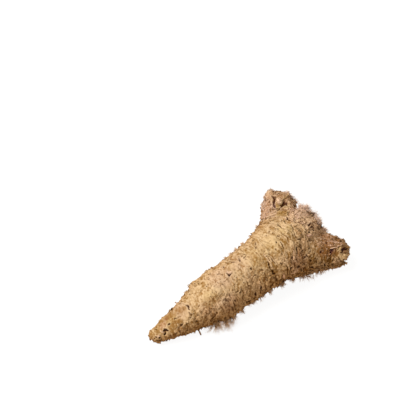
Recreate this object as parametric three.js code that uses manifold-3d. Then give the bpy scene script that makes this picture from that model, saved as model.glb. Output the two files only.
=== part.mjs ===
// Rhizome of a bearded iris, lifted and trimmed for planting, lying on its belly.
// A tapering trunk forks into two short lobes. Growth rings, loose bark scales, torn leaf bases round the
// lobe ends and stubs of feeding roots have all grown from the one body, so they are fused with it.
// Units are millimetres and +Z is up. The origin is under the middle of the rhizome, on the ground.
import * as THREE from "three";
import { mergeVertices } from "three/addons/utils/BufferGeometryUtils.js";
import Module from "manifold-3d";

const wasm = await Module();
wasm.setup();

const FULL_TURN = Math.PI * 2;
const QUARTER_TURN = Math.PI / 2;
const { clamp, lerp } = THREE.MathUtils;

// Driving dimensions
const FLATTENING = 0.94; // height of a section over its width
const BELLY_CUT = 0.7; // depth to which the ground flat cuts the underside
const TRUNK = {
  // x along the rhizome, y across it, half width of the section, underside above the ground
  stations: [
    [-57.4, 0, 4.8, 0.6],
    [-50, -1, 6.7, 0.1],
    [-39, -1.8, 9.6, 0],
    [-25, -2.2, 12.9, 0],
    [-8, -1.6, 13.6, 0],
    [7, -0.6, 14.7, 0],
    [19, 1.2, 15.8, 0],
    [35, 6, 12.4, 0.6],
  ],
  rings: 15,
  ringHeight: 0.6,
  sides: 26,
  seed: 3,
};
const UPPER_LOBE = {
  stations: [
    [6, 0, 12.6, 0.2],
    [20, 6, 12.6, 0],
    [31.4, 17.2, 10.5, 0.2],
    [38.4, 27.6, 8.2, 1.8],
  ],
  rings: 5,
  ringHeight: 0.6,
  sides: 18,
  seed: 11,
};
const LOWER_LOBE = {
  stations: [
    [6, -2, 12.6, 0.2],
    [19, -4, 12.6, 0],
    [31, -8.6, 10.8, 0.2],
    [42.4, -14.2, 8.2, 1.4],
  ],
  rings: 5,
  ringHeight: 0.6,
  sides: 18,
  seed: 23,
};

// Relief of the skin
const RING = {
  foot: 0.35, // share of a ring's height that lies under the plain section
  even: 0.55, // share of a lip's height that is the same all round
  highSides: [2.4, 1.7], // turn of a lip's high sides from one ring to the next
  slant: 0.32, // how far a ring wanders along the limb, in rings
  slantTurns: [5, -7], // turn of that wander along the limb
};
const LUMPS = {
  // height of a wave, its crests round the limb, its phase along the limb
  waves: [
    [0.45, 3, 9],
    [0.35, 2, -17],
    [0.3, 5, 23],
  ],
  fullRadius: 14, // where the limb is thinner, the lumps are lower
  leastShare: 0.3,
};

// What has grown out of the skin. A pair is a range, and sunk is the depth of the rooted edge in the skin.
const SCALE = {
  length: [4.5, 7.5],
  ragged: [0.62, 1.1], // shares of the length that the free edge reaches
  halfWidth: [3.4, 6.2],
  rootedWidth: 0.8, // share of the width at the rooted edge
  lift: [0.15, 0.65],
  thickness: 0.6,
  sunk: 0.8,
  facingBack: 0.6, // share of the scales whose free edge points back
  scatter: 0.35, // share of the spacing
  grid: { columns: 4, rows: 2 },
};
const LEAF_BASE = {
  halfWidth: [2.6, 3.8],
  taper: 0.7, // share of the width lost at the tip
  lift: [0.3, 1.3],
  lean: [-0.25, 0.25],
  thickness: 0.7,
  sunk: 0.9,
  from: 0.72, // start and end along the limb, and how much further out each layer is
  to: 1.18,
  fromStep: 0.16,
  toStep: 0.22,
  endScatter: 0.05,
  scatter: 0.3, // share of the spacing
  grid: { columns: 2, rows: 3 },
};
const ROOT = {
  length: [2.2, 5.2],
  below: [0.1, 0.9], // angle under the widest part of the limb
  baseRadius: 0.55,
  tipRadius: 0.32,
  droop: 0.08,
  drift: 0.6,
  sunk: 1.6,
  sides: 3,
  steps: 3,
};
const PIT = { sides: 7, floorShare: 0.45, overshoot: 1.5 };
const COLOUR = "#b8925f";

// A repeatable source of numbers from 0 to 1.
function seeded(seed) {
  let state = seed >>> 0;
  return () => {
    state = (state + 0x6d2b79f5) >>> 0;
    let mixed = Math.imul(state ^ (state >>> 15), state | 1);
    mixed ^= mixed + Math.imul(mixed ^ (mixed >>> 7), mixed | 61);
    return ((mixed ^ (mixed >>> 14)) >>> 0) / 4294967296;
  };
}

const between = (draw, low, high) => low + (high - low) * draw();

// One limb of the body: a spine, the half width along it, and the relief raised from its skin.
// t runs from 0 to 1 along the spine, from -1 to 0 round its near end and from 1 to 2 round its far end.
class Limb {
  constructor({ stations, rings, ringHeight, sides, seed }) {
    const centres = stations.map(([x, y, halfWidth, clear]) => {
      const height = halfWidth * FLATTENING + clear - BELLY_CUT;
      return new THREE.Vector3(x, y, height);
    });
    const widths = stations.map(([, , halfWidth], i) => new THREE.Vector3(i, halfWidth, 0));
    this.spine = new THREE.CatmullRomCurve3(centres);
    this.girth = new THREE.CatmullRomCurve3(widths, false, "catmullrom");
    this.rings = rings;
    this.ringHeight = ringHeight;
    this.sides = sides;
    const draw = seeded(seed);
    const phase = () => between(draw, 0, FULL_TURN);
    this.slantPhases = [phase(), phase()];
    this.lipPhases = [phase(), phase()];
    this.lumpPhases = LUMPS.waves.map(phase);
  }

  radius(t) {
    return this.girth.getPoint(clamp(t, 0, 1)).y;
  }

  // The rings run a little aslant and wavy round the limb.
  slant(t, angle) {
    const [first, second] = this.slantPhases;
    const [firstTurn, secondTurn] = RING.slantTurns;
    const fade = Math.sin(Math.PI * clamp(t, 0, 1));
    const longWave = Math.sin(angle + first + firstTurn * t);
    const shortWave = Math.sin(2 * angle + second + secondTurn * t) / 2;
    return (RING.slant * fade * (longWave + shortWave)) / this.rings;
  }

  // A ring rises to a lip, higher on some sides of the limb than on others.
  ringLip(t, angle) {
    if (t <= 0 || t >= 1) return 0;
    const ring = Math.floor(t * this.rings);
    const rise = t * this.rings - ring;
    const [first, second] = this.lipPhases;
    const [firstTurn, secondTurn] = RING.highSides;
    const twoSides = Math.sin(2 * angle + first + firstTurn * ring);
    const high = twoSides * Math.sin(angle + second + secondTurn * ring);
    return this.ringHeight * lerp(high, 1, RING.even) * (rise * rise - RING.foot);
  }

  lumps(t, angle) {
    const share = clamp(this.radius(t) / LUMPS.fullRadius, LUMPS.leastShare, 1);
    const heights = LUMPS.waves.map(([height, crests, along], i) => {
      return height * Math.sin(crests * angle + along * t + this.lumpPhases[i]);
    });
    return share * heights.reduce((sum, height) => sum + height);
  }

  // The place of a point of the skin, raised by lift.
  skin(t, angle, lift = 0) {
    const slanted = t > 0 && t < 1 ? t + this.slant(t, angle) : t;
    const along = clamp(slanted, 0, 1);
    const turn = (slanted - along) * QUARTER_TURN;
    const tangent = this.spine.getTangent(along);
    const side = new THREE.Vector3(-tangent.y, tangent.x, 0).normalize();
    const up = new THREE.Vector3().crossVectors(tangent, side);
    const outward = side
      .multiplyScalar(Math.cos(angle) * Math.cos(turn))
      .addScaledVector(up, FLATTENING * Math.sin(angle) * Math.cos(turn))
      .addScaledVector(tangent, Math.sin(turn));
    const reach = this.radius(slanted) + this.ringLip(t, angle) + this.lumps(t, angle) + lift;
    return this.spine.getPoint(along).addScaledVector(outward, reach);
  }

  // Rows of the skin: three to each ring, at its foot, middle and lip, and some round each end.
  rows() {
    const near = [-0.75, -0.5, -0.25];
    const far = [1.25, 1.5, 1.75];
    const found = [...near];
    for (let ring = 0; ring < this.rings; ring++)
      for (const part of [0.05, 0.5, 0.95]) found.push((ring + part) / this.rings);
    return [...found, ...far];
  }

  geometry() {
    const rows = this.rows().map((t) => {
      return Array.from({ length: this.sides }, (_, i) => this.skin(t, (i / this.sides) * FULL_TURN));
    });
    return closedTube(this.skin(-1, 0), rows, this.skin(2, 0));
  }
}

function closedGeometry(points, faces) {
  return new THREE.BufferGeometry().setFromPoints(points).setIndex(faces);
}

// A skin over rings of points, closed by a point at each end.
function closedTube(start, rows, end) {
  const sides = rows[0].length;
  const points = [start, ...rows.flat(), end];
  const last = points.length - 1;
  const at = (row, i) => 1 + row * sides + (i % sides);
  const faces = [];
  for (let i = 0; i < sides; i++) {
    faces.push(0, at(0, i + 1), at(0, i));
    faces.push(last, at(rows.length - 1, i), at(rows.length - 1, i + 1));
  }
  for (let row = 0; row + 1 < rows.length; row++)
    for (let i = 0; i < sides; i++) {
      faces.push(at(row, i), at(row, i + 1), at(row + 1, i + 1));
      faces.push(at(row, i), at(row + 1, i + 1), at(row + 1, i));
    }
  return closedGeometry(points, faces);
}

// A thin plate whose upper and lower face are given by place(u, v, isTop), with u and v from 0 to 1. Its
// faces are turned round where v runs back along the limb.
function plate({ columns, rows }, heading, place) {
  const points = [];
  for (const isTop of [false, true])
    for (let j = 0; j <= rows; j++)
      for (let i = 0; i <= columns; i++) points.push(place(i / columns, j / rows, isTop));
  const layer = (columns + 1) * (rows + 1);
  const below = (i, j) => j * (columns + 1) + i;
  const above = (i, j) => layer + below(i, j);
  const faces = [];
  const quad = (a, b, c, d) => {
    const turned = heading > 0 ? [a, b, c, a, c, d] : [a, c, b, a, d, c];
    faces.push(...turned);
  };
  for (let j = 0; j < rows; j++)
    for (let i = 0; i < columns; i++) {
      quad(above(i, j), above(i + 1, j), above(i + 1, j + 1), above(i, j + 1));
      quad(below(i, j), below(i, j + 1), below(i + 1, j + 1), below(i + 1, j));
    }
  for (let i = 0; i < columns; i++) {
    quad(below(i, 0), below(i + 1, 0), above(i + 1, 0), above(i, 0));
    quad(below(i + 1, rows), below(i, rows), above(i, rows), above(i + 1, rows));
  }
  for (let j = 0; j < rows; j++) {
    quad(below(0, j + 1), below(0, j), above(0, j), above(0, j + 1));
    quad(below(columns, j), below(columns, j + 1), above(columns, j + 1), above(columns, j));
  }
  return closedGeometry(points, faces);
}

// How far a plate's face stands over the skin: sunk at its root, v = 0, and lifted at its free edge.
function plateLift({ thickness, sunk }, lift, v, isTop) {
  const top = -sunk + (sunk + lift + thickness) * Math.sqrt(v);
  return isTop ? top : top - thickness - (1 - v) * sunk;
}

// A bark scale: rooted under the skin at its back edge, lifting to a ragged free edge. heading is 1 where
// the free edge points along the limb, and -1 where it points back.
function barkScale(limb, draw, t, angle, heading) {
  const length = (heading * between(draw, ...SCALE.length)) / limb.spine.getLength();
  const halfTurn = between(draw, ...SCALE.halfWidth) / limb.radius(t);
  const lift = between(draw, ...SCALE.lift);
  const { columns } = SCALE.grid;
  const lengths = Array.from({ length: columns + 1 }, () => length * between(draw, ...SCALE.ragged));
  return plate(SCALE.grid, heading, (u, v, isTop) => {
    const narrow = lerp(SCALE.rootedWidth, 1, Math.sin(Math.PI * v));
    const across = angle + (2 * u - 1) * halfTurn * narrow;
    const along = t + v * lengths[Math.round(u * columns)];
    const isRim = u === 0 || u === 1;
    const raised = plateLift(SCALE, isRim ? -SCALE.sunk : lift, v, isTop);
    return limb.skin(along, across, raised);
  });
}

// Scales are set in loose rings along a limb.
function barkScales(limb, { rings, perRing, from, to, seed }) {
  const draw = seeded(seed);
  const scatter = () => between(draw, -SCALE.scatter, SCALE.scatter);
  const found = [];
  for (let ring = 0; ring < rings; ring++)
    for (let i = 0; i < perRing; i++) {
      const t = lerp(from, to, (ring + scatter()) / rings);
      const place = i + scatter() + (ring % 2) / 2;
      const heading = draw() < SCALE.facingBack ? -1 : 1;
      found.push(barkScale(limb, draw, t, (place / perRing) * FULL_TURN, heading));
    }
  return found;
}

// The torn base of an old leaf: it hugs the lobe and closes over its end, narrowing to a tip.
function leafBase(limb, draw, angle, from, to) {
  const halfTurn = between(draw, ...LEAF_BASE.halfWidth) / limb.radius(1);
  const lift = between(draw, ...LEAF_BASE.lift);
  const lean = between(draw, ...LEAF_BASE.lean);
  return plate(LEAF_BASE.grid, 1, (u, v, isTop) => {
    const narrow = 1 - LEAF_BASE.taper * v * v;
    const across = angle + lean * v + (2 * u - 1) * halfTurn * narrow;
    return limb.skin(lerp(from, to, v), across, plateLift(LEAF_BASE, lift, v, isTop));
  });
}

// A crown of leaf bases round the end of a limb, each layer further out than the last.
function leafBases(limb, { perLayer, layers, seed }) {
  const draw = seeded(seed);
  const { from, fromStep, to, toStep, endScatter, scatter } = LEAF_BASE;
  const found = [];
  for (let layer = 0; layer < layers; layer++)
    for (let i = 0; i < perLayer; i++) {
      const place = i + layer / 2 + between(draw, -scatter, scatter);
      const start = from + fromStep * layer + between(draw, -endScatter, endScatter);
      const end = to + toStep * layer + between(draw, -2 * endScatter, 3 * endScatter);
      found.push(leafBase(limb, draw, (place / perLayer) * FULL_TURN, start, end));
    }
  return found;
}

// A stub of a feeding root: a thin cone that leaves the flank and droops towards the ground.
function rootStub(limb, draw, t, angle) {
  const foot = limb.skin(t, angle, -ROOT.sunk);
  const start = limb.skin(t, angle);
  const outward = start.clone().sub(foot).normalize();
  const length = between(draw, ...ROOT.length);
  const drift = between(draw, -ROOT.drift, ROOT.drift);
  const centres = [foot];
  for (let step = 1; step <= ROOT.steps; step++) {
    const reach = (length * step) / ROOT.steps;
    const next = start.clone().addScaledVector(outward, reach);
    next.x += drift * reach;
    next.z -= (ROOT.droop * reach ** 3) / length;
    next.z = Math.max(next.z, ROOT.baseRadius);
    centres.push(next);
  }
  return taperedRod(centres, ROOT.baseRadius, ROOT.tipRadius, ROOT.sides);
}

function taperedRod(centres, baseRadius, tipRadius, sides) {
  const line = new THREE.CatmullRomCurve3(centres);
  const steps = centres.length - 1;
  const rows = centres.map((centre, step) => {
    const tangent = line.getTangent(step / steps);
    const side = new THREE.Vector3(-tangent.y, tangent.x, 0).normalize();
    const up = new THREE.Vector3().crossVectors(tangent, side);
    const radius = lerp(baseRadius, tipRadius, step / steps);
    return Array.from({ length: sides }, (_, i) => {
      const turn = (i / sides) * FULL_TURN;
      const offset = side.clone().multiplyScalar(Math.cos(turn) * radius);
      return offset.addScaledVector(up, Math.sin(turn) * radius).add(centre);
    });
  });
  const tip = line.getPoint(1).addScaledVector(line.getTangent(1), tipRadius);
  return closedTube(line.getPoint(0), rows, tip);
}

// Roots leave the lower half of a limb, on both flanks by turns.
function rootStubs(limb, { count, from, to, seed }) {
  const draw = seeded(seed);
  return Array.from({ length: count }, (_, i) => {
    const t = lerp(from, to, (i + draw()) / count);
    const below = between(draw, ...ROOT.below);
    return rootStub(limb, draw, t, i % 2 ? -below : Math.PI + below);
  });
}

// A rough pit, wider at its mouth, sunk into a limb where a shoot or an old bud has broken away.
function shootPit(limb, { t, angle, mouth, depth }) {
  const floor = limb.skin(t, angle, -depth);
  const rim = limb.skin(t, angle, PIT.overshoot);
  const axis = rim.clone().sub(floor);
  const height = axis.length();
  const upright = new THREE.Vector3(0, 1, 0);
  const turn = new THREE.Quaternion().setFromUnitVectors(upright, axis.normalize());
  const middle = floor.lerp(rim, 0.5);
  const pit = new THREE.CylinderGeometry(mouth, mouth * PIT.floorShare, height, PIT.sides, 1);
  return pit.applyQuaternion(turn).translate(middle.x, middle.y, middle.z);
}

function solidOf(geometry) {
  const bare = geometry.clone();
  bare.deleteAttribute("normal");
  bare.deleteAttribute("uv");
  const merged = mergeVertices(bare, 1e-4);
  const mesh = new wasm.Mesh({
    numProp: 3,
    vertProperties: merged.attributes.position.array,
    triVerts: new Uint32Array(merged.index.array),
  });
  return new wasm.Manifold(mesh);
}

// The triangles of the largest connected shell. Hollows that fusing has sealed are shells of their own.
function outerShell(triangles, vertexCount) {
  const parent = Array.from({ length: vertexCount }, (_, i) => i);
  const shellOf = (vertex) => {
    let found = vertex;
    while (parent[found] !== found) found = parent[found];
    parent[vertex] = found;
    return found;
  };
  for (let i = 0; i < triangles.length; i += 3) {
    parent[shellOf(triangles[i + 1])] = shellOf(triangles[i]);
    parent[shellOf(triangles[i + 2])] = shellOf(triangles[i]);
  }
  const shells = new Map();
  for (let i = 0; i < triangles.length; i += 3) {
    const shell = shellOf(triangles[i]);
    if (!shells.has(shell)) shells.set(shell, []);
    shells.get(shell).push(triangles[i], triangles[i + 1], triangles[i + 2]);
  }
  return [...shells.values()].reduce((most, shell) => (shell.length > most.length ? shell : most));
}

function geometryOf(solid) {
  const { vertProperties, triVerts } = solid.getMesh();
  const geometry = new THREE.BufferGeometry();
  geometry.setAttribute("position", new THREE.BufferAttribute(vertProperties, 3));
  geometry.setIndex(outerShell(triVerts, vertProperties.length / 3));
  geometry.computeVertexNormals();
  return geometry;
}

const trunk = new Limb(TRUNK);
const upperLobe = new Limb(UPPER_LOBE);
const lowerLobe = new Limb(LOWER_LOBE);

const grown = [
  trunk.geometry(),
  upperLobe.geometry(),
  lowerLobe.geometry(),
  ...barkScales(trunk, { rings: 7, perRing: 4, from: 0.1, to: 0.95, seed: 5 }),
  ...barkScales(upperLobe, { rings: 1, perRing: 4, from: 0.5, to: 0.7, seed: 6 }),
  ...barkScales(lowerLobe, { rings: 1, perRing: 4, from: 0.5, to: 0.7, seed: 7 }),
  ...leafBases(trunk, { perLayer: 7, layers: 2, seed: 14 }),
  ...leafBases(upperLobe, { perLayer: 7, layers: 2, seed: 16 }),
  ...leafBases(lowerLobe, { perLayer: 7, layers: 2, seed: 9 }),
  ...rootStubs(trunk, { count: 22, from: 0.2, to: 0.95, seed: 10 }),
  ...rootStubs(upperLobe, { count: 6, from: 0.4, to: 0.95, seed: 12 }),
  ...rootStubs(lowerLobe, { count: 6, from: 0.4, to: 0.95, seed: 13 }),
];

const pits = [
  shootPit(trunk, { t: -0.55, angle: 2.6, mouth: 1.5, depth: 1.5 }),
  shootPit(trunk, { t: 0.03, angle: 2.1, mouth: 1.1, depth: 1.8 }),
  shootPit(upperLobe, { t: 1.1, angle: 1.4, mouth: 1.9, depth: 3.2 }),
  shootPit(lowerLobe, { t: 1.3, angle: 1.2, mouth: 2.1, depth: 3.6 }),
];

const ground = new THREE.BoxGeometry(300, 300, 40).translate(0, 0, -20);
const fused = grown.map(solidOf).reduce((body, piece) => body.add(piece));
const cut = [ground, ...pits].map(solidOf).reduce((body, piece) => body.subtract(piece), fused);
const body = geometryOf(cut);
body.computeBoundingBox();
const middle = body.boundingBox.getCenter(new THREE.Vector3());

const bark = new THREE.MeshStandardMaterial({ color: COLOUR, roughness: 0.9, metalness: 0 });
const rhizome = new THREE.Mesh(body, bark);
rhizome.name = "rhizome";
rhizome.position.set(-middle.x, -middle.y, 0);

const group = new THREE.Group();
group.add(rhizome);

export default group;
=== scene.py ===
import math
import random

import bpy
import numpy as np
from mathutils import Matrix, Vector, noise
from mathutils.bvhtree import BVHTree
from mathutils.kdtree import KDTree


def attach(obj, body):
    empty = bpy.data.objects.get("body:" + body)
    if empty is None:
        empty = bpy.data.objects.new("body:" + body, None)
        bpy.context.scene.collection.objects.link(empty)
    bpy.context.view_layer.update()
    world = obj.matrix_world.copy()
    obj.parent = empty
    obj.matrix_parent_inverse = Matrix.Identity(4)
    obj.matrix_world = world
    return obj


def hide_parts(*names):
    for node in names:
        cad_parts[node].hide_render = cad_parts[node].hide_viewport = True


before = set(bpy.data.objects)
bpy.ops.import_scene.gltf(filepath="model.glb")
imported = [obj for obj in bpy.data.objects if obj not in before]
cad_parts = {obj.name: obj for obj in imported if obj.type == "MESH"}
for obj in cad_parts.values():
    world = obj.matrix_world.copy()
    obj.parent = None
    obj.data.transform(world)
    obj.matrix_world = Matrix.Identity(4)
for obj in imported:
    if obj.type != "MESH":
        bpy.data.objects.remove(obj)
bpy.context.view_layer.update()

# Plain form of the rhizome: a storage stem of firm tissue that tapers to one end and forks into two
# short lobes at the other. It has grown as one piece, on a belly that the ground has flattened.
# Sizes are in millimetres, in the frame of the solid model.
MM = 0.001
FORM_FACE = 0.95  # face size of the plain form; scales and roots are thinner and drop out
SKIN_FACE = 0.39  # face size of the finished skin
FORM_ROUNDS = 14  # rounds of smoothing that take the facets out of the form
EVEN_ROUNDS = 2  # rounds that even out small steps
SKIN_INSET = 0.45  # the skin lies this far inside the form, and what stands on it fills it out again
SLIM_PLACES = [
    # a place where the skin lies further in than that, or less far; its radius; by how much
    ((-54, -3.7, 8), 5, 0.25),
    ((-56, -8, 3), 5, -0.5),
    ((-52.5, -11, 3), 4, -0.6),
    ((33, 18, 8), 5, -1),
    ((49, -11, 13.5), 4.5, -2.4),
    ((50.5, -26.5, 8), 4, 1),
    ((-44, -2, 10.3), 9, 0.8),
    ((-5.6, -20.9, 6), 7, 0.8),
    ((0.2, -21.2, 6.5), 7, 0.6),
    ((12.1, -20.9, 6), 7, 0.6),
    ((20, -21.5, 5.5), 8, 1.8),
    ((30, -23.2, 5.5), 8, 1.7),
    ((39, -26.5, 5.5), 8, 1.4),
    ((47, -29.5, 8), 7, 1.5),
    ((50.2, -6, 16), 8, 1.3),
    ((43.2, 27.2, 15.3), 4, -1.2),
]


def rebuilt(mesh, face_size):
    """The mesh as even four-sided faces of the given size, without what is thinner than they are."""
    holder = bpy.data.objects.new("holder", mesh)
    bpy.context.scene.collection.objects.link(holder)
    even = holder.modifiers.new("even", "REMESH")
    even.mode = "VOXEL"
    even.voxel_size = face_size * MM
    graph = bpy.context.evaluated_depsgraph_get()
    made = bpy.data.meshes.new_from_object(holder.evaluated_get(graph))
    bpy.data.objects.remove(holder)
    return made


def read_points(mesh):
    flat = np.empty(len(mesh.vertices) * 3, np.float32)
    mesh.vertices.foreach_get("co", flat)
    return flat.reshape(-1, 3).astype(float) / MM


def write_points(mesh, points):
    mesh.vertices.foreach_set("co", (points * MM).astype(np.float32).ravel())
    mesh.update()


def read_normals(mesh):
    flat = np.empty(len(mesh.vertices) * 3, np.float32)
    mesh.vertex_normals.foreach_get("vector", flat)
    return flat.reshape(-1, 3).astype(float)


def smooth_step(values, low, high):
    share = np.clip((values - low) / (high - low), 0, 1)
    return share * share * (3 - 2 * share)


def relaxed(mesh, values, rounds, share=0.5):
    """The values, one row for each point, after each has moved towards the mean of its neighbours."""
    flat = np.empty(len(mesh.edges) * 2, np.int32)
    mesh.edges.foreach_get("vertices", flat)
    near, far = flat.reshape(-1, 2).T
    neighbours = np.bincount(flat, minlength=len(values))[:, None]
    for _ in range(rounds):
        total = np.zeros_like(values)
        for column in range(values.shape[1]):
            total[:, column] += np.bincount(near, values[far, column], len(values))
            total[:, column] += np.bincount(far, values[near, column], len(values))
        values = values + share * (total / neighbours - values)
    return values


plain_form = rebuilt(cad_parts["rhizome"].data.copy(), FORM_FACE)
write_points(plain_form, relaxed(plain_form, read_points(plain_form), EVEN_ROUNDS))
body_mesh = rebuilt(plain_form, SKIN_FACE)
body_points = relaxed(body_mesh, read_points(body_mesh), FORM_ROUNDS)
write_points(body_mesh, body_points)
inset = np.full(len(body_points), SKIN_INSET)
for place, width, depth in SLIM_PLACES:
    inset += depth * np.exp(-((np.linalg.norm(body_points - place, axis=1) / width) ** 2))
inset *= smooth_step(body_points[:, 2], 0.3, 2.5)  # what lies on the ground stays where it is
body_points = body_points - read_normals(body_mesh) * inset[:, None]
body_points = relaxed(body_mesh, body_points, EVEN_ROUNDS)
write_points(body_mesh, body_points)
body_normals = read_normals(body_mesh)

# Camera: a long lens that looks down on the rhizome from its right-hand side. Marks on the bark that
# were read off the photograph are set out by its pixels, and each is then brought onto the skin.
LENS = 100.0
SENSOR = 36.0
PICTURE = 420  # pixels across
PIXEL = 0.5  # size of a pixel at the rhizome
VIEW_AZIMUTH = math.radians(-35.5)
VIEW_ELEVATION = math.radians(50)
LOOK_POINT = Vector((5.55, -6.34, 15))
LOOK_PIXEL = (252, 266)  # where that point shows in the picture
back = Vector((math.sin(VIEW_AZIMUTH) * math.cos(VIEW_ELEVATION),
               -math.cos(VIEW_AZIMUTH) * math.cos(VIEW_ELEVATION),
               math.sin(VIEW_ELEVATION)))
right = Vector((math.cos(VIEW_AZIMUTH), math.sin(VIEW_AZIMUTH), 0))
up = back.cross(right)
off_right = (LOOK_PIXEL[0] - PICTURE / 2) * PIXEL
off_down = (LOOK_PIXEL[1] - PICTURE / 2) * PIXEL
focal_pixels = PICTURE * LENS / SENSOR
eye = LOOK_POINT - right * off_right + up * off_down + back * (focal_pixels * PIXEL)
camera_data = bpy.data.cameras.new("camera")
camera_data.lens = LENS
camera_data.sensor_width = SENSOR
camera_data.clip_start = 0.01
camera = bpy.data.objects.new("camera", camera_data)
bpy.context.scene.collection.objects.link(camera)
camera.matrix_world = Matrix.Translation(eye * MM) @ Matrix((right, up, back)).transposed().to_4x4()
bpy.context.scene.camera = camera

from_eye = body_points - np.array(eye)
depths = -(from_eye @ np.array(back))
pixels_x = PICTURE / 2 + focal_pixels * (from_eye @ np.array(right)) / depths
pixels_y = PICTURE / 2 - focal_pixels * (from_eye @ np.array(up)) / depths
facing = np.einsum("ij,ij->i", body_normals, -from_eye) > 0


def seen_at(pixel):
    """The point of the skin, by its number, that shows at a pixel, or else nearest to it."""
    off = np.hypot(pixels_x - pixel[0], pixels_y - pixel[1]) + np.where(facing, 0, 1000)
    near = np.flatnonzero(off < max(1.0, off.min() + 0.01))
    return near[np.argmin(depths[near])]


def seen_path(pixels):
    """Points on the skin along a path of pixels, at most about a millimetre apart."""
    spots = []
    for a, b in zip(pixels, pixels[1:] or pixels):
        steps = max(1, math.ceil(math.dist(a, b) * PIXEL))
        for step in range(steps):
            share = step / steps
            pixel = (a[0] + (b[0] - a[0]) * share, a[1] + (b[1] - a[1]) * share)
            spots.append(body_points[seen_at(pixel)])
    spots.append(body_points[seen_at(pixels[-1])])
    return np.array(spots)


# Growth of the limbs: the trunk runs from its tip to the head, and a lobe goes on from there to each
# side. Rings, scales and leaf bases all lie across the way in which a limb has grown.
TRUNK_LINE = [(-56, -6), (-20, -8.5), (13, -7), (40, -1)]
LOBE_LINES = [[(29, 5), (36, 11), (44, 21)], [(29, -11), (36, -14.5), (48, -20.5)]]
LIMB_BLEND = 3.0  # width of the zone in which one limb passes into the next
LIMB_MIDDLE = 9.5  # height of the middle line over the ground
LIGHT_SIDE = (-0.3, 0.18, 0.94)  # the side the light comes from; the bark is painted darker away from it
RINGED = 74.0  # distances from the tip at which the strong rings and the head begin
HEAD = 89.0


def line_map(points, line):
    """Place along and across a bent line, way of the line and distance from it, seen from above."""
    flat = points[:, :2]
    corners = np.array(line, float)
    best = np.full(len(points), np.inf)
    along, across = np.zeros(len(points)), np.zeros(len(points))
    heading = np.zeros((len(points), 2))
    start = 0.0
    for i, (a, b) in enumerate(zip(corners[:-1], corners[1:])):
        length = np.linalg.norm(b - a)
        way = (b - a) / length
        place = (flat - a) @ way
        held = np.clip(place, 0, length)
        off = np.linalg.norm(flat - a - held[:, None] * way, axis=1)
        ends = i == len(corners) - 2
        closer = off < best
        best[closer] = off[closer]
        run_on = np.where(ends, np.maximum(place, 0), held)
        if i == 0:
            run_on = np.where(place < 0, place, run_on)
        along[closer] = (start + run_on)[closer]
        across[closer] = ((flat - a) @ np.array([-way[1], way[0]]))[closer]
        heading[closer] = way
        start += length
    return along, across, heading, best


def growth_map(points):
    """Distance grown from the tip, place across the limb, and way of growth, for each point."""
    maps = [line_map(points, TRUNK_LINE)]
    for line in LOBE_LINES:
        along, across, heading, off = line_map(points, line)
        first = line_map(np.array([[*line[0], 0.0]]), TRUNK_LINE)[0][0]
        maps.append((along + first, across, heading, off))
    nearest = np.min([m[3] for m in maps], axis=0)
    weights = np.array([
        np.exp(-(((m[3] - nearest) / LIMB_BLEND) ** 2) - m[3] / LIMB_BLEND)
        for m in maps
    ])
    weights /= weights.sum(0)
    grown = sum(w * m[0] for w, m in zip(weights, maps))
    across = sum(w * m[1] for w, m in zip(weights, maps))
    heading = sum(w[:, None] * m[2] for w, m in zip(weights, maps))
    heading /= np.linalg.norm(heading, axis=1)[:, None]
    return grown, across, np.column_stack([heading, np.zeros(len(points))])


grown, across, heading = growth_map(body_points)
straight = np.column_stack([grown, across, body_points[:, 2]])
turned = np.arctan2(across, body_points[:, 2] - LIMB_MIDDLE)  # angle round the limb from its top
head = smooth_step(grown, HEAD - 4, HEAD + 6)
light_facing = body_normals @ np.array(LIGHT_SIDE)
flank = smooth_step(-light_facing, -1.0, 0.05)  # 0 on the top of a limb, which faces the light, 1 where it turns under
turned_from_light = np.maximum(flank, 0.6 * (1 - head) * smooth_step(body_normals[:, 1], 0.3, 0.9))  # painted shade on the far side too
rim = smooth_step(-light_facing, -0.05, 0.7)  # 1 on the underside, which faces away from the light
# Painted shade: topside is 1 where the bark keeps its full colour, and lower on the flanks, the far side
# and the underside
topside = np.clip(1 - 0.7 * turned_from_light * (1 - 0.4 * head) - 0.3 * rim, 0, 1)

# Bark relief: rings where old leaves stood, with a lip on each and a crease behind it, dry plates that
# crack apart, strands of fibre along the flanks, ribs along the lobes, and nicks where rootlets broke
# off. The deeper clefts and pits stand where the photograph shows them.
RING_STEP = 3.6
RING_HEIGHT = 0.9
RING_CREASE = 0.36  # half width of the crease
PLATE_SIZE = (2.0, 3.0, 3.0)  # along the limb, across it, upright
PLATE_HEIGHT = 0.3
CHIP_SHARE = 0.45  # size and height of a chip over those of a plate
STRAND_STEP = 2.2
STRAND_HEIGHT = 0.6
RIB_SPAN = 9.0  # ribs and their gaps are this many to one radian, about
RIB_HEIGHT = 0.3
CRACK_STEP = 2.9
CRACK_DEPTH = 0.4
CRACK_HALF_WIDTH = 0.32
CRACK_LIP = (0.65, 0.3)  # how far off its lip is, and half the lip's width
CRACK_ZONE = (50.0, 92.0)  # the cracks begin and end at these distances from the tip
LUMP_SIZE = 7.0
LUMP_HEIGHT = 0.4
GROOVE_SPREAD = 0.08  # a groove is this much wider on each side than its half width
LIP_SPREAD = 0.45  # and its raised lip reaches this far out
LIP_HEIGHT = 0.15
SMOOTH_HEIGHT = 0.25
GRAIN_HEIGHT = 0.14
PEBBLE_SIZE = 1.4
PEBBLE_HEIGHT = 0.13
NICK_COUNT = 480
NICK_SEED = 4
FOLD_ROUNDS = 7  # rounds of smoothing that tell a fold from the skin round it
NOISE_SEED = 3
noise.seed_set(NOISE_SEED)  # or else the noise that warps the plates differs from run to run

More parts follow.
